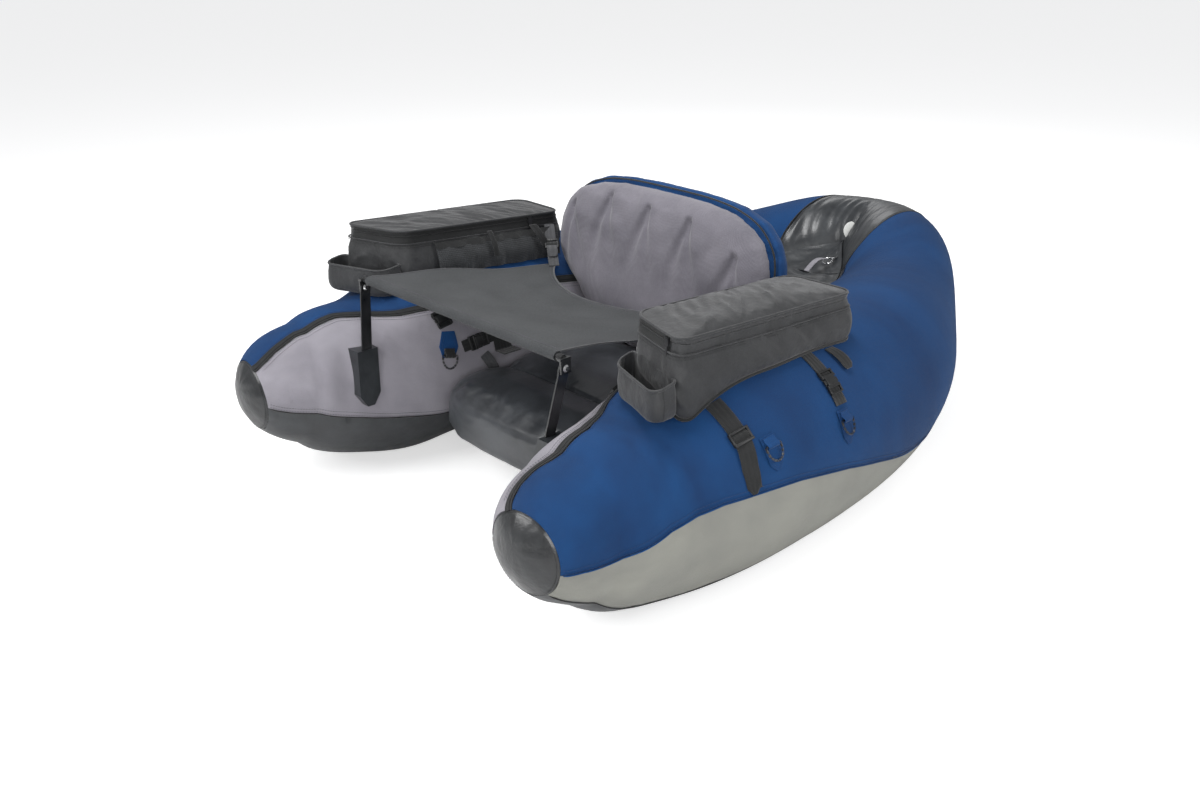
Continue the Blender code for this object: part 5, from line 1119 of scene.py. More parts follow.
def bagGround(a, b):
    turn = math.radians(bag["toe"])
    b = b - a * math.tan(math.radians(bag["slant"])) * (0.5 - b / bag["length"])
    x = bag["centreX"] + a * math.cos(turn) + b * math.sin(turn)
    y = bag["frontY"] + bag["length"] / 2 - a * math.sin(turn) + b * math.cos(turn)
    return x, y


def bagLevel(b, rise=0.0):
    return bag["rim"] + rise - (b + bag["length"] / 2) * math.tan(math.radians(bag["pitch"]))


def bagPoint(a, b, z, side):
    x, y = bagGround(np.asarray(a, float), np.asarray(b, float))
    return np.stack([side * (x + 0 * z), y + 0 * z, z + 0 * x], -1)


def bagHeart(side):
    return bagPoint(0.0, 0.0, bag["heart"], side)


def foldsOf(a, b, z, seed):
    # pack cloth hangs in slanting folds, sharper where it is sewn in
    slanted = np.stack([a / 0.030, (b + 0.75 * z) / 0.026, z / 0.11], -1)
    return lumps(slanted, 1.0, seed)


def softTub(name, side, outline, rim, leastFloor, bulge, flare, tuck, folds, columns, rows, seed, replaced):
    # an open cloth tub that rests on the tube: its first fifth is the floor, and the rest climbs to the rim
    floorShare = 0.2
    ring = np.linspace(0, 1, 200, endpoint=False)
    middleA, middleB = (values.mean() for values in outline(ring))

    def place(along, across):
        a, b = outline(across)
        fromA, fromB = a - middleA, b - middleB
        spread = np.hypot(fromA, fromB)
        footA = a + fromA / spread * (flare - tuck)
        footB = b + fromB / spread * (flare * bag["endFlare"] - tuck)
        reach = np.minimum(along / floorShare, 1)
        share = np.clip((along - floorShare) / (1 - floorShare), 0, 1)
        floorX, floorY = bagGround(middleA + (footA - middleA) * reach, middleB + (footB - middleB) * reach)
        floorZ = np.maximum(tubeTopAt(floorX, floorY) + bag["seatGap"], leastFloor)
        z = floorZ + (rim(b) - floorZ) * share
        held = np.sin(share * math.pi) ** 0.6
        small = np.abs(foldsOf(a, b, z, seed))
        broad = np.abs(foldsOf(a * 0.4, b * 0.4, z * 0.5, seed + 9))
        wave = -folds * held * (1.5 * small + 0.8 * broad - 0.5)
        ruffle = lumps(np.stack([a, b, z * 0.1], -1), 0.007, seed)
        gathers = 0.35 * folds * np.exp(-(rim(b) - z) / 0.010) * ruffle
        drawnIn = 1 - (1 - share) ** 2
        tucked = tuck * (1 - np.exp(-share / 0.06)) * (1 - share) ** 2
        belly = bulge * np.sin(share ** 0.85 * math.pi) ** 1.3
        swell = (tucked + belly + wave + gathers * (share > 0)) / spread
        wallA = footA + (a - footA) * drawnIn + fromA * swell
        wallB = footB + (b - footB) * drawnIn + fromB * swell
        x, y = bagGround(wallA, wallB)
        onFloor = along < floorShare
        return np.stack([side * np.where(onFloor, floorX, x), np.where(onFloor, floorY, y), z], -1)

    piece = gridPiece(name, rows, columns, place, (0.12, 0.95), closed=True)
    faceOut(piece, bagPoint(middleA, middleB, rim(middleB), side))
    thicken(piece, bag["wall"])
    return dress(piece, "blackNylon", "hull", (replaced,))


def bagEdge(side, start, end, count, out, rise):
    # points along the bag's wall, this far out of it and above its rim
    a, b = bagOutline(np.linspace(start, end, count))
    grow = 1 + out / np.hypot(a, b)
    return bagPoint(a * grow, b * grow, bagLevel(b, rise), side)


def zipTape(name, side, low, high, out, body):
    # one of the zip's two tapes along the bag's wall, between two levels of its rim
    start, run = zipRun["start"], zipRun["end"] - zipRun["start"]

    def place(along, across):
        a, b = bagOutline(start + run * along)
        level = low + (high - low) * across
        grow = 1 + (out + zipRun["spread"] * np.maximum(-level, 0)) / np.hypot(a, b)
        return bagPoint(a * grow, b * grow, bagLevel(b, level), side)

    piece = gridPiece(name, int(run * 260), 4, place, (0.9 * run, high - low))
    faceOut(piece, bagHeart(side))
    thicken(piece, zipRun["thickness"], 1.0)
    return dress(piece, "zipTape", body)


def bagSide(side):
    prefix = sideWord(side)
    lidBody = prefix + "_lid"
    softTub(prefix + "BagBody", side, bagOutline, bagLevel, leastFloor=0.0, bulge=bag["bulge"],
            flare=bag["flare"], tuck=0.007, folds=0.0038, columns=260, rows=50, seed=11 + side,
            replaced=prefix + "_bag_body")

    def lid(along, across):
        # the first stretch is the skirt above the zip, and the rest runs in over the crown
        skirtShare = 0.12
        a, b = bagOutline(across)
        skirt = np.minimum(along / skirtShare, 1)
        share = np.clip(1 - (along - skirtShare) / (1 - skirtShare), 0, 1)
        rest = np.stack([a * share / 0.055, (b * share + 0.5 * a * share) / 0.024, 0 * a], -1)
        crown = bag["crown"][side] * (1 - share ** 2.6)
        loose = (1 - share ** 7) * (along > skirtShare)
        creases = 1.3 * np.abs(lumps(rest, 1.0, 21 + side)) - 0.25
        wave = loose * (0.0035 * lumps(rest * 0.35, 1.0, 27 + side) - 0.0048 * creases)
        level = bagLevel(b * share, tube["seamGap"] + bag["skirt"] * skirt + crown + wave)
        puff = 0.0012 * np.sin(skirt * math.pi) * (along <= skirtShare)
        swell = 1 + puff / np.maximum(np.hypot(a, b), 0.02)
        return bagPoint(a * share * swell, b * share * swell, level, side)

    piece = gridPiece(prefix + "BagLid", 50, 240, lid, (0.11, 0.95), closed=True)
    faceOut(piece, bagHeart(side))
    thicken(piece, bag["wall"])
    dress(piece, "blackNylon", lidBody, (prefix + "_bag_lid",))

    lidTop = tube["seamGap"] + bag["skirt"] + 0.0004
    cordPiece(prefix + "LidPiping", bagEdge(side, 0, 1.002, 260, 0.0010, lidTop), 0.0021, "blackNylon",
              lidBody)
    cordPiece(prefix + "RimPiping", bagEdge(side, 0, 1.002, 260, 0.0052, -0.0140), 0.0015, "blackNylon")
    zipTape(prefix + "LowerZipTape", side, -0.0120, -0.0008, 0.0008, "hull")
    zipTape(prefix + "UpperZipTape", side, 0.0016, 0.0076, 0.0010, lidBody)
    cordPiece(prefix + "ZipCoil", bagEdge(side, zipRun["start"], zipRun["end"], 200, 0.0020, -0.0004), 0.0016,
              "zipTape")
    for row, level in (("Upper", -0.0170), ("Lower", -0.0205)):
        path = bagEdge(side, 0, 1, 300, 0.0014 - 0.29 * level, level)
        lift = path - np.array([side * bag["centreX"], bag["frontY"] + bag["length"] / 2, 0.0])
        lift[:, 2] = 0
        lift /= np.linalg.norm(lift, axis=1)[:, None]
        stitches(prefix + "Bag" + row + "Stitches", path, lift, "blackThread")

    def cupRim(b):
        outward = np.clip((-b - bag["length"] / 2 - cup["gap"]) / cup["depth"], 0, 1)
        return bag["rim"] - cup["below"] - 0.006 * smoothStep(outward)

    softTub(prefix + "CupPocket", side, cupOutline, cupRim,
            leastFloor=bag["rim"] - cup["below"] - cup["height"], bulge=0.0030, flare=0.0, tuck=0.008,
            folds=0.0020, columns=150, rows=34, seed=41 + side, replaced=prefix + "_cup_pocket")
    a, b = cupOutline(np.linspace(0, 1, 120))
    cordPiece(prefix + "CupBinding", bagPoint(a, b, cupRim(b), side), 0.0022, "blackNylon")
    # a dark cord runs along the bag's foot on its outer side and round both its ends, where the bag meets the
    # tube
    inset = 0.005
    a, b = bagOutline(np.linspace(-0.30, 0.30, 160))
    spread = np.hypot(a, b)
    x, y = bagGround(a * (1 + (bag["flare"] - inset) / spread),
                     b * (1 + (bag["flare"] * bag["endFlare"] - inset) / spread))
    cordPiece(prefix + "BagFootWelt", np.stack([side * x, y, tubeTopAt(x, y) + 0.0032], -1), 0.0024,
              "blackWebbing")


for side in (1, -1):
    bagSide(side)


def innerWall(b, drop, out, side):
    # a place on the bag's inner wall, this far below its rim and standing out from it
    height = 0.080
    share = np.clip(1 - drop / height, 0, 1)
    a = -(bag["width"] / 2 + bag["flare"] * (1 - share) ** 2 + bag["bulge"] * np.sin(share * math.pi)) - out
    return bagPoint(a, b, bagLevel(b, -drop), side)


netPocket = {"start": -0.128, "length": 0.300, "bottom": 0.074, "depth": 0.048, "belly": 0.0085,
             "bindingTop": 0.0160, "bindingWidth": 0.0115, "cloth": (0.30, 0.05),
             "bindingCloth": (0.30, 0.011)}


def meshPocket(side):
    prefix = sideWord(side)

    def alongPocket(along):
        held = np.sin(np.clip(along, 0, 1) * math.pi) ** 0.35
        return netPocket["start"] + netPocket["length"] * along, held

    def net(along, across):
        b, held = alongPocket(along)
        drop = netPocket["bottom"] - netPocket["depth"] * across
        uneven = 3 * lumps(np.stack([b, 0 * b, 0 * b], -1), 0.05, 3)
        gather = 0.0020 * np.sin(b / 0.042 * math.tau + uneven) * (1 - 0.65 * across)
        belly = netPocket["belly"] * np.sin((0.12 + 0.78 * across) * math.pi)
        out = 0.0016 + held * (belly + 0.0035 * across + gather + 0.0030)
        return innerWall(b, drop, np.maximum(out, 0.0010), side)

    piece = gridPiece(prefix + "MeshPocket", 150, 24, net, netPocket["cloth"])
    faceOut(piece, bagHeart(side))
    thicken(piece, 0.0009, 1.0)
    dress(piece, "pocketMesh")

    def bound(along, across):
        b, held = alongPocket(along)
        drop = netPocket["bindingTop"] + netPocket["bindingWidth"] * (1 - across)
        wave = 0.0016 * np.sin(b / 0.045 * math.tau)
        return innerWall(b, drop, 0.0020 + held * (netPocket["belly"] + wave - 0.0020 * across), side)

    piece = gridPiece(prefix + "MeshPocketBinding", 120, 6, bound, netPocket["bindingCloth"])
    faceOut(piece, bagHeart(side))
    thicken(piece, 0.0018, 1.0)
    dress(piece, "blackWebbing")


# two lengths of webbing hang over the mesh pocket, sewn just under the rim
hangers = {"BagLoop": {"along": -0.012, "slant": 0.02, "drop": 0.046, "width": 0.012, "curl": 0.002},
           "BagTail": {"along": 0.098, "slant": 0.42, "drop": 0.044, "width": 0.020, "curl": 0.004}}
hangerSewn = {"under": 0.004, "out": 0.0225, "slack": 0.004, "thickness": 0.0016}


def hangingWebbing(name, side, hanger):
    drop, width, thick = hanger["drop"], hanger["width"], hangerSewn["thickness"]

    def place(distance, sideways, height):
        share = np.clip(distance / drop, 0, 1)
        slack = hangerSewn["slack"] * np.sin(share * math.pi) + hanger["curl"] * share ** 2
        return innerWall(hanger["along"] + hanger["slant"] * distance + sideways,
                         hangerSewn["under"] + distance * math.cos(math.atan(hanger["slant"])),
                         hangerSewn["out"] + slack + height, side)

    piece = strip(name, place, [(0, 0, thick, width, 0), (drop * 0.9, 0, thick, width, 0),
                                (drop, 0, thick, width * 0.92, 0)])
    return dress(piece, "blackWebbing")


for side in (1, -1):
    meshPocket(side)
    for name, hanger in hangers.items():
        hangingWebbing(sideWord(side) + name, side, hanger)
print("the bags are made")

# Webbing, buckles, tabs and rings

webbing = {"thickness": 0.0018, "width": 0.025, "gap": 0.0004}


def onTube(station, angle, side=1, heading=0.0, mirror=1):
    # places on the tube's skin, from a start there: down it, across that line, and out of it
    turn = math.radians(heading)
    radius = float(tubeThick(station))
    speed = float(stationLength(station))

    def place(distance, sideways, height):
        down = distance * math.cos(turn) - sideways * math.sin(turn)
        along = distance * math.sin(turn) + sideways * math.cos(turn)
        where = tubePoint(station + along / speed, angle + side * np.degrees(down / radius), height)
        return mirrorOf(where, mirror)

    return place


def shifted(place, start, twist=0.0, length=1.0, lift=0.0):
    # the same strap, further along, turned about its own line and lifted as a loose tail is
    def moved(distance, sideways, height):
        share = np.clip(distance / length, 0, 1)
        turn = math.radians(twist) * np.sin(share * math.pi * 0.8)
        across = sideways * np.cos(turn) - height * np.sin(turn)
        high = sideways * np.sin(turn) + height * np.cos(turn) + lift * np.sin(share * math.pi * 0.85)
        return place(distance + start, across, np.maximum(high, 0.0005))

    return moved


def bagFootAngle(station):
    # how far round the tube the bag's foot reaches here, less what the strap lies under it
    angle = 0.0
    turn = math.radians(bag["toe"])
    a = -1.0
    while a < bag["width"] / 2 + bag["flare"] - bag["strapUnder"]:
        angle += 0.5
        point = tubePoint(np.array([station]), np.array([angle]))[0]
        fromMiddle = point[1] - bag["frontY"] - bag["length"] / 2
        a = (point[0] - bag["centreX"]) * math.cos(turn) - fromMiddle * math.sin(turn)
    return angle


def ladderLock(name, place, start, width, body="hull"):
    # two side rails and three bars, with the strap woven over the middle one
    half = width / 2
    blocks = [((0.0, -half, 0.0006), (0.022, -half + 0.0032, 0.0058)),
              ((0.0, half - 0.0032, 0.0006), (0.022, half, 0.0058)),
              ((0.0, -half, 0.0022), (0.0034, half, 0.0062)),
              ((0.0088, -half, 0.0010), (0.0122, half, 0.0044)),
              ((0.0178, -half, 0.0026), (0.0222, half, 0.0068))]
    piece = moulding(name, shifted(place, start), blocks)
    dress(piece, "blackAcetal", body)
    woven = [(0.0030, 0.0012), (0.0066, 0.0030), (0.0105, 0.0046), (0.0150, 0.0028), (0.0190, 0.0012)]
    strap = strip(name + "Wrap", shifted(place, start), [
        (distance, low, low + webbing["thickness"], width * 0.76, 0) for distance, low in woven])
    dress(strap, "blackWebbing", body)


def sideBuckle(name, place, start, width, length=0.040):
    # the socket's frame and body, the two prongs in its windows, then the plug's shoulder and frame
    half = width / 2
    unit = length / 0.040
    blocks = [((0.0, -half, 0.0005), (0.003 * unit, half, 0.0060)),
              ((0.0, -half, 0.0005), (0.010 * unit, -half + 0.0034, 0.0058)),
              ((0.0, half - 0.0034, 0.0005), (0.010 * unit, half, 0.0058)),
              ((0.0085 * unit, -half, 0.0008), (0.0135 * unit, half, 0.0064)),
              ((0.0125 * unit, -half + 0.0042, 0.0006), (0.0260 * unit, half - 0.0042, 0.0066)),
              ((0.0155 * unit, -half + 0.0002, 0.0016), (0.0235 * unit, -half + 0.0046, 0.0054)),
              ((0.0155 * unit, half - 0.0046, 0.0016), (0.0235 * unit, half - 0.0002, 0.0054)),
              ((0.0250 * unit, -half + 0.0010, 0.0008), (0.0300 * unit, half - 0.0010, 0.0062)),
              ((0.0290 * unit, -half + 0.0010, 0.0005), (0.0400 * unit, -half + 0.0040, 0.0056)),
              ((0.0290 * unit, half - 0.0040, 0.0005), (0.0400 * unit, half - 0.0010, 0.0056)),
              ((0.0372 * unit, -half + 0.0010, 0.0005), (0.0400 * unit, half - 0.0010, 0.0058))]
    piece = moulding(name, shifted(place, start), blocks)
    dress(piece, "blackAcetal")


def webStrap(place, rows, name, material="blackWebbing", body="hull", replaced=()):
    low = webbing["gap"]
    sections = [(distance, low + rise, low + rise + webbing["thickness"], width, shift)
                for distance, rise, width, shift in rows]
    return dress(strip(name, place, sections), material, body, replaced)


# angles round the tube at which a strap's fitting and its end lie
strapSpots = {"front": {"station": 1.75, "fitting": 46.0, "end": 78.0},
              "rear": {"station": 2.84, "fitting": 38.0, "end": 57.0}}


def strapRun(side, spot):
    # a strap's route from under the bag, and how far along it its fitting and its end are
    start = bagFootAngle(spot["station"])
    perDegree = math.radians(float(tubeThick(spot["station"])))
    place = onTube(spot["station"], start, 1, 0.0, side)
    return place, (spot["fitting"] - start) * perDegree, (spot["end"] - start) * perDegree


def tubeStraps(side):
    prefix = sideWord(side)
    width = webbing["width"]
    place, lock, end = strapRun(side, strapSpots["front"])
    webStrap(place, [(0, 0, width, 0), (lock + 0.020, 0, width, 0)], prefix + "FrontStrap",
             replaced=(prefix + "_front_strap",))
    ladderLock(prefix + "FrontLadderLock", place, lock, 0.031)
    tailLength = end - lock - 0.016
    tail = shifted(place, lock + 0.016, 24.0, tailLength, 0.0075)
    webStrap(tail, [(0, 0.002, 0.024, 0), (0.010, 0.001, 0.024, -0.002),
                    (tailLength * 0.5, 0.0005, 0.023, -0.010), (tailLength - 0.012, 0.0, 0.022, -0.013),
                    (tailLength, 0.0, 0.006, -0.013)], prefix + "FrontTail")
    webStrap(place, [(lock + 0.022, 0, 0.018, -0.004), (end - 0.006, 0, 0.018, -0.008)],
             prefix + "FrontAnchor")

    place, buckle, end = strapRun(side, strapSpots["rear"])
    webStrap(place, [(0, 0, width, 0), (end, 0, width, 0)], prefix + "RearStrap",
             replaced=(prefix + "_rear_strap",))
    sideBuckle(prefix + "RearBuckle", place, buckle, 0.030)
    loop, loopLength = onTube(3.13, 27.0, 1, 0.0, side), 0.046
    webStrap(shifted(loop, 0.0, 12.0, loopLength, 0.005),
             [(0, 0, 0.020, 0), (loopLength - 0.006, 0.001, 0.020, 0.002), (loopLength, 0.001, 0.012, 0.002)],
             prefix + "RearTail")


# patch rows hold the distance down the tube and the width there
ringPlaces = {
    "front": {"station": 1.97, "angle": 60.0, "side": 1, "heading": 0.0,
              "patch": [(-0.016, 0.023), (0.026, 0.023), (0.038, 0.006)]},
    "rear": {"station": 2.81, "angle": 64.5, "side": 1, "heading": 0.0,
             "patch": [(-0.016, 0.023), (0.026, 0.023), (0.038, 0.006)]},
    "harness": {"station": 1.58, "angle": -74.5, "side": -1, "heading": -22.0,
                "patch": [(-0.044, 0.023), (-0.016, 0.036), (0.004, 0.023)]},
}
# a ring's bar in its folded tab: the wire's radius, its play, and how far the fold is pressed down
ringBar = {"wire": 0.0020, "play": 0.0006, "pressed": 0.0004, "start": -0.013, "bend": -0.0065, "turn": 200.0}


def ringTab(side, name, spot):
    prefix = sideWord(side)
    title = prefix + name.capitalize()
    place = onTube(spot["station"], spot["angle"], spot["side"], spot["heading"], side)
    webStrap(place, [(distance, 0, width, 0) for distance, width in spot["patch"]], title + "TabPatch",
             "blueQuilt", replaced=(f"{prefix}_{name}_ring_tab",))
    rows = np.array(spot["patch"])
    for k, inset in enumerate((0.0022, 0.0052)):
        first, last = rows[0, 0] + inset, rows[-1, 0] - inset
        distance = np.concatenate([np.linspace(first, last, 40), np.linspace(last, first, 40)])
        half = np.interp(distance, rows[:, 0], rows[:, 1]) / 2 - inset
        half = np.maximum(half, 0.0006) * np.concatenate([np.ones(40), -np.ones(40)])
        path = place(distance, half, np.full(80, 0.0023))
        lift = place(distance, half, np.full(80, 0.0123)) - path
        stitches(f"{title}TabStitches{k}", path, lift / 0.01, "blueThread", pitch=0.0030,
                 radius=0.0003)
    thick = webbing["thickness"]
    bar = webbing["gap"] + 2 * thick - ringBar["pressed"] + ringBar["play"] + ringBar["wire"]
    middle = ringBar["wire"] + ringBar["play"] + thick / 2
    low = bar - middle
    path = [(ringBar["start"], low), (ringBar["bend"], low)]
    for k in range(17):
        turn = math.radians(-90 + ringBar["turn"] * k / 16)
        path.append((middle * math.cos(turn), bar + middle * math.sin(turn)))
    path += [(ringBar["bend"], low + 1.3 * thick), (ringBar["start"], low + thick + 0.0008)]
    path = np.array(path)
    run = np.gradient(path, axis=0)
    run /= np.linalg.norm(run, axis=1)[:, None]
    normal = np.stack([-run[:, 1], run[:, 0]], -1)
    last = len(path) - 1

    def fold(along, across):
        index = np.rint(along * last).astype(int)
        wide, high = strapTurn(across)
        point = path[index] + normal[index] * (high * thick / 2)[:, None]
        return place(point[:, 0], wide * 0.0092, point[:, 1])

    piece = gridPiece(title + "TabFold", last, 20, fold, (0.05, 0.04), closed=True)
    closeEnds(piece)
    look = ("blueQuilt", "blue_polyester") if name != "harness" else ("blackWebbing", "black_webbing")
    dress(piece, look[0])


def harness(side):
    prefix = sideWord(side)
    place = onTube(1.70, -46.0, -1, 0.0, side)
    webStrap(place, [(0, 0, webbing["width"], 0), (0.034, 0, webbing["width"], 0)], prefix + "HarnessStrap",
             replaced=(prefix + "_harness_buckle",))
    sideBuckle(prefix + "HarnessBuckle", place, 0.003, 0.029, 0.030)
    cross = onTube(2.01, -73.0, -1, 90.0, side)
    webStrap(cross, [(-0.034, 0.0, 0.022, 0), (0.050, 0.0, 0.022, 0)], prefix + "CrossStrap")
    sideBuckle(prefix + "CrossBuckle", cross, -0.020, 0.027)
    tail = onTube(2.04, -82.0, -1, 20.0, side)
    webStrap(shifted(tail, 0.0, 30.0, 0.052, 0.008),
             [(0, 0.001, 0.020, 0), (0.040, 0.001, 0.020, 0.003), (0.052, 0.001, 0.014, 0.004)],
             prefix + "CrossTail", "greyWebbing")

    # the seat's strap comes down the tube and leaves it, in a short curl, for the top of the seat
    station, top, width = 2.32, -52.0, 0.040
    radius = float(tubeThick(station))
    curl, level = 0.006, seat["top"] + webbing["gap"]
    leave = math.degrees(math.asin((level + curl - axisAt(station)[2]) / radius)) - 90
    hang = math.radians(top - leave) * radius
    corner = tubePoint(np.array([station]), np.array([leave]))[0]
    follow = onTube(station, top, -1)

    def hung(distance, sideways, height):
        beyond = np.maximum(distance - hang, 0)
        x = corner[0] - beyond - height * np.exp(-beyond / curl)
        z = level + height + curl * np.exp(-beyond / curl * 2) + 0.004 * smoothStep(beyond / 0.01)
        resting = np.stack([x, corner[1] + sideways, z], -1)
        hanging = (distance <= hang)[:, None]
        return mirrorOf(np.where(hanging, follow(distance, sideways, height), resting), side)

    webStrap(hung, [(0, 0, width, 0), (hang + 0.030, 0, width, 0)], prefix + "SeatStrap",
             replaced=(prefix + "_seat_strap",))


for side in (1, -1):
    tubeStraps(side)
    harness(side)
    for name, spot in ringPlaces.items():
        ringTab(side, name, spot)
print("the straps are made")

# Apron, bar pockets and deck

apron = {"barY": -0.512, "barZ": 0.369, "sleeve": 0.0078, "front": 0.25603, "rear": 0.23803, "rearY": -0.112,
         "cut": 0.120, "rearZ": 0.318, "sag": 0.010, "thickness": 0.0012}


def apronPoint(share, side, lift=0.0):
    # share runs from the sleeve to the rear edge, and side from the right edge to the left one
    rearY = apron["rearY"] - apron["cut"] * (1 - side ** 2)
    half = apron["front"] + (apron["rear"] - apron["front"]) * share
    y = apron["barY"] + (rearY - apron["barY"]) * share
    level = (y - apron["barY"]) / (apron["rearY"] - apron["barY"])
    top = apron["barZ"] + apron["sleeve"]
    z = top + (apron["rearZ"] - top) * level - apron["sag"] * np.sin(level * math.pi) * (1 - side ** 2)
    # folds run from the two strap corners towards the bar, and the free side edges wave
    fan = np.arctan2(y - apron["rearY"] - 0.03, np.abs(side) * half - apron["rear"] - 0.02)
    fold = 0.0120 * share * (1 - share) * lumps(np.stack([fan * 3.2, side * 0.4, 0 * side], -1), 1.0, 5)
    wave = np.sin(share * math.tau * 1.2 + 0.9 * np.sign(side)) * np.sin(share * math.pi)
    edge = 0.0050 * wave * np.abs(side) ** 5
    return np.stack([side * half, y, z + fold + edge + lift], -1)


def apronPieces():
    # the first stretch of the cloth wraps the bar, and the rest runs back to the rear edge
    first = 0.22

    def place(along, across):
        side = 2 * across - 1
        share = np.clip((along - first) / (1 - first), 0, 1)
        turn = np.radians(90 + 320 * np.clip(1 - along / first, 0, 1))
        sleeve = np.stack([side * apron["front"], apron["barY"] + apron["sleeve"] * np.cos(turn),
                           apron["barZ"] + apron["sleeve"] * np.sin(turn)], -1)
        return np.where((along < first)[:, None], sleeve, apronPoint(share, side))

    piece = gridPiece("apronSheet", 90, 90, place, (0.45, 0.50))
    area = faceUp(piece)
    thicken(piece, apron["thickness"])
    dress(piece, "apronCloth", "apron_frame", ("apron",), 70)
    across = np.linspace(-1, 1, 160)
    rear = cordPiece("apronRearBinding", apronPoint(np.ones(160), across, -0.0004), 0.0017, "greyWebbing",
                     "apron_frame")
    along = np.linspace(0.01, 1, 110)
    sides = [cordPiece(name, apronPoint(along, np.full(110, side), -0.0004), 0.0015, "greyWebbing",
                       "apron_frame")
             for name, side in (("apronLeftBinding", 1.0), ("apronRightBinding", -1.0))]
    up = np.tile([0.0, 0.0, 1.0], (160, 1))
    rows = [stitches("apronRearStitches", apronPoint(np.full(160, 0.975), across * 0.985, 0.0003), up,
                     "greyThread", "apron_frame"),
            stitches("apronSleeveStitches", apronPoint(np.full(160, 0.020), across * 0.99, 0.0004), up,
                     "greyThread", "apron_frame")]
    print("the apron's cloth is %.4f square metres" % area)


apronPieces()


def apronStrap(side):
    # from the apron's rear corner up to the bag's inner wall
    prefix = sideWord(side)
    width, standOff, below = 0.020, 0.0082, 0.014
    slope = (apron["barZ"] - apron["rearZ"]) / (apron["rearY"] - apron["barY"])
    low = np.array([apron["rear"] - width, apron["rearY"] - width,
                    apron["rearZ"] + slope * width + apron["thickness"]])
    bagEnd = bag["length"] / 2 - bag["corner"] - width / 2
    x, y = bagGround(-bag["width"] / 2 - standOff, bagEnd)
    high = np.array([x, y, bagLevel(bagEnd) - below])
    run = high - low
    length = float(np.linalg.norm(run))
    run /= length
    normal = np.array([0, 0, 1]) - run * run[2]
    normal /= np.linalg.norm(normal)
    sideways = np.cross(run, normal)

    def place(distance, shift, height):
        along = np.outer(distance, run)
        return mirrorOf(low + along + np.outer(shift, sideways) + np.outer(height, normal), side)

    webStrap(place, [(0, 0, width, 0), (length, 0, width, 0)], prefix + "ApronStrap", "greyWebbing",
             "apron_frame", (prefix + "_apron_strap",))
    ladderLock(prefix + "ApronLock", place, length / 2 - 0.011, 0.0265, "apron_frame")
    tailLength = 0.030
    webStrap(shifted(place, length / 2 - 0.034, 0.0, tailLength, 0.004),
             [(0, 0.004, 0.012, 0), (0.006, 0.003, width, 0), (tailLength, 0.001, width, 0)],
             prefix + "ApronStrapTail", "greyWebbing", "apron_frame")


def barPocket(side):
    prefix = sideWord(side)
    piece = cadCopy(prefix + "BarPocket", prefix + "_bar_pocket")
    roundEdges(piece, 0.0014)
    applyAll(piece)
    dress(piece, "blackVinyl", "hull", (prefix + "_bar_pocket",), 45)


for side in (1, -1):
    apronStrap(side)
    barPocket(side)

deck = {"front": 0.062, "rear": 0.360, "frontZ": 0.232, "rearZ": 0.268, "sag": 0.016, "gap": 0.0022,
        "thickness": 0.0016}
deckZip = {"y": 0.250, "width": 0.030, "reachShare": 0.72, "coil": 0.0012, "coilShare": 0.09, "lift": 0.0022,
           "ridge": 0.0030, "ridgeReach": 0.012, "thickness": 0.0012}
behindDeck = {"run": 0.150, "climb": 0.031, "gap": 0.0012}


def innerReach(y, z, clearance):
    # the distance from the middle plane to the tube's inner side, found along the tube's own surface
    stations = np.linspace(0, 7.9, 400)
    station = np.interp(y, tubeAlong(stations), stations)
    angle = np.full(np.shape(y), -90.0)
    for _ in range(40):
        point = tubePoint(station, angle, clearance)
        thick = tubeThick(station)
        ease = np.maximum(np.abs(tubeFrame(station)[1][..., 1]), 0.3)
        step = np.clip((y - point[..., 1]) * ease / stationLength(station), -0.08, 0.08)
        station = np.clip(station + step, 0.02, 7.9)
        angle = np.clip(angle + 0.6 * np.degrees((z - point[..., 2]) / thick), -165, -20)
    return point[..., 0]


def hollow(side, creases, sag):
    # black coated cloth hangs between the tubes: lowest along its middle, and drawn flat at its sides
    return np.minimum(creases * (1 - side ** 4), 0.0015) - sag * (1 - side ** 2)


def coatedSheet(name, columns, rows, place, spread):
    piece = gridPiece(name, columns, rows, place, spread)
    faceUp(piece)
    thicken(piece, deck["thickness"])
    return piece


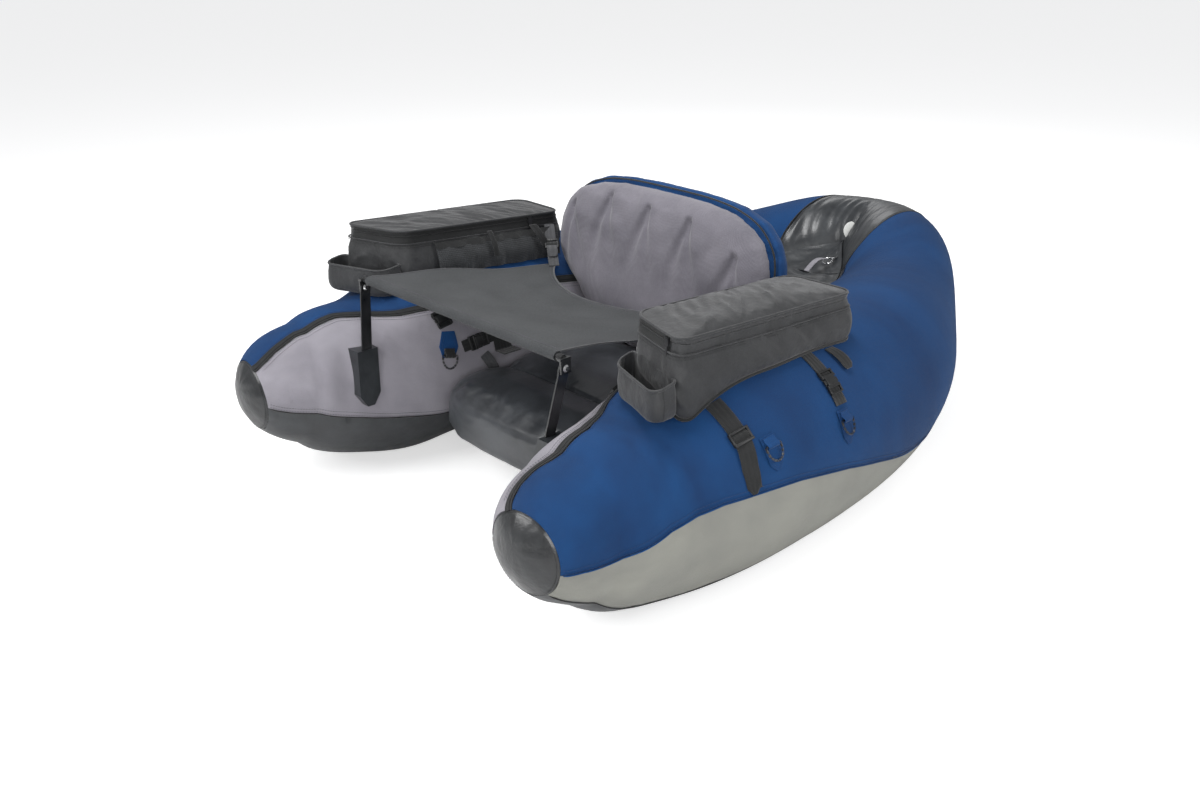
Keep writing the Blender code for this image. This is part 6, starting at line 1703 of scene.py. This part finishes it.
def deckPieces():
    def level(along):
        y = deck["front"] + (deck["rear"] - deck["front"]) * along
        z = deck["frontZ"] + (deck["rearZ"] - deck["frontZ"]) * along
        return y, z

    def ridge(y, side):
        # the cloth stands up a little where the zip is sewn in
        return deckZip["ridge"] * np.exp(-((y - deckZip["y"]) / deckZip["ridgeReach"]) ** 2) * (1 - side ** 2)

    rows = np.linspace(0, 1, 60)
    rowY, rowZ = level(rows)
    reachTable = innerReach(rowY, rowZ, deck["gap"])

    def place(along, across):
        side = 2 * across - 1
        y, z = level(along)
        reach = np.interp(along, rows, reachTable)
        rest = np.stack([side * reach, y, 0 * y], -1)
        creases = 0.0045 * (lumps(rest * np.array([0.5, 1.3, 1]), 0.034, 13) - 0.2)
        return np.stack([side * reach, y, z + hollow(side, creases, deck["sag"]) + ridge(y, side)], -1)

    piece = coatedSheet("storageDeck", 90, 80, place, (0.30, 0.30))
    dress(piece, "blackVinyl", "hull", ("storage_deck",), 70)

    def zipBand(along, across):
        side = deckZip["reachShare"] * (2 * along - 1)
        y = deckZip["y"] + (across - 0.5) * deckZip["width"]
        share = (y - deck["front"]) / (deck["rear"] - deck["front"])
        lift = deckZip["lift"] + deckZip["coil"] * (np.abs(across - 0.5) < deckZip["coilShare"])
        z = level(share)[1] + hollow(side, 0.0, deck["sag"]) + ridge(y, side)
        return np.stack([side * np.interp(share, rows, reachTable), y, z + lift], -1)

    band = gridPiece("deckZip", 90, 24, zipBand, (0.20, deckZip["width"]))
    thicken(band, deckZip["thickness"])
    dress(band, "zipTape")


def sternPanel():
    # a panel closes the U behind the deck, from the deck's rear edge up to the stern band
    share = 0.5 - 0.5 * np.cos(np.linspace(0, 1, 60) * math.pi)
    rowY = deck["rear"] + behindDeck["gap"] + behindDeck["run"] * share
    rowZ = deck["rearZ"] + behindDeck["climb"] * share
    reachTable = innerReach(rowY, rowZ, deck["gap"])

    def place(along, across):
        side = 2 * across - 1
        climb = 0.5 - 0.5 * np.cos(along * math.pi)
        y, z = np.interp(climb, share, rowY), np.interp(climb, share, rowZ)
        rest = np.stack([side * 0.15, y, 0 * y], -1)
        creases = 0.0040 * (lumps(rest * np.array([0.6, 1.2, 1]), 0.030, 19) - 0.2) * (1 - climb)
        z = z + hollow(side, creases, deck["sag"] * (1 - climb))
        return np.stack([side * np.interp(climb, share, reachTable), y, z], -1)

    piece = coatedSheet("sternPanel", 60, 70, place, (0.16, 0.30))
    dress(piece, "blackVinyl", "hull", (), 70)

    # a bright zip pull lies on the panel, with its ring and a short pale strap
    pull = np.array([0.035, 0.397, 0.2755])
    turns = np.linspace(0, math.tau, 60)
    ring = pull + np.stack([0.010 * np.cos(turns), 0.010 * np.sin(turns) - 0.004, 0.004 * np.sin(turns)], -1)
    cordPiece("deckPullRing", ring, 0.0012, "brightRivet")
    middle, half = pull + np.array([0.0, 0.016, 0.0024]), np.array([0.0035, 0.0100, 0.0010])
    tab = roundedBlock(middle - half, middle + half, 0.0007)
    tab.name = "deckZipPull"
    dress(tab, "brightRivet")
    strapLength, width = 0.070, 0.012

    def strapPlace(distance, sideways, height):
        arch = 0.004 + 0.010 * np.sin(np.clip(distance / strapLength, 0, 1) * math.pi)
        return np.stack([pull[0] + sideways + 0 * distance, pull[1] - 0.010 - distance * 0.9,
                         pull[2] - 0.18 * distance + arch + height], -1)

    webStrap(strapPlace, [(0, 0, width, 0), (strapLength, 0, width, 0)], "deckPullStrap", "paleBinding")


deckPieces()
sternPanel()
print("the apron and the deck are made")

# The solids that stay, each with its own finish

kept = {"air_valve": "blackAcetal", "crossbar": "blackSteel", "bar_leg": "blackSteel",
        "bar_rivet": "brightRivet", "front_ring": "blackSteel", "rear_ring": "blackSteel",
        "harness_ring": "blackSteel", "zip_slider": "blackSteel"}
for name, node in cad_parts.items():
    for ending, look in kept.items():
        if name.endswith(ending):
            node.data.materials.clear()
            node.data.materials.append(materials[look])
            if ending in ("crossbar", "bar_leg", "zip_slider"):
                roundEdges(node, 0.0006, 2)
            elif ending.endswith("ring"):
                node.modifiers.new("Round", 'SUBSURF').render_levels = 2
print("the solids are finished")
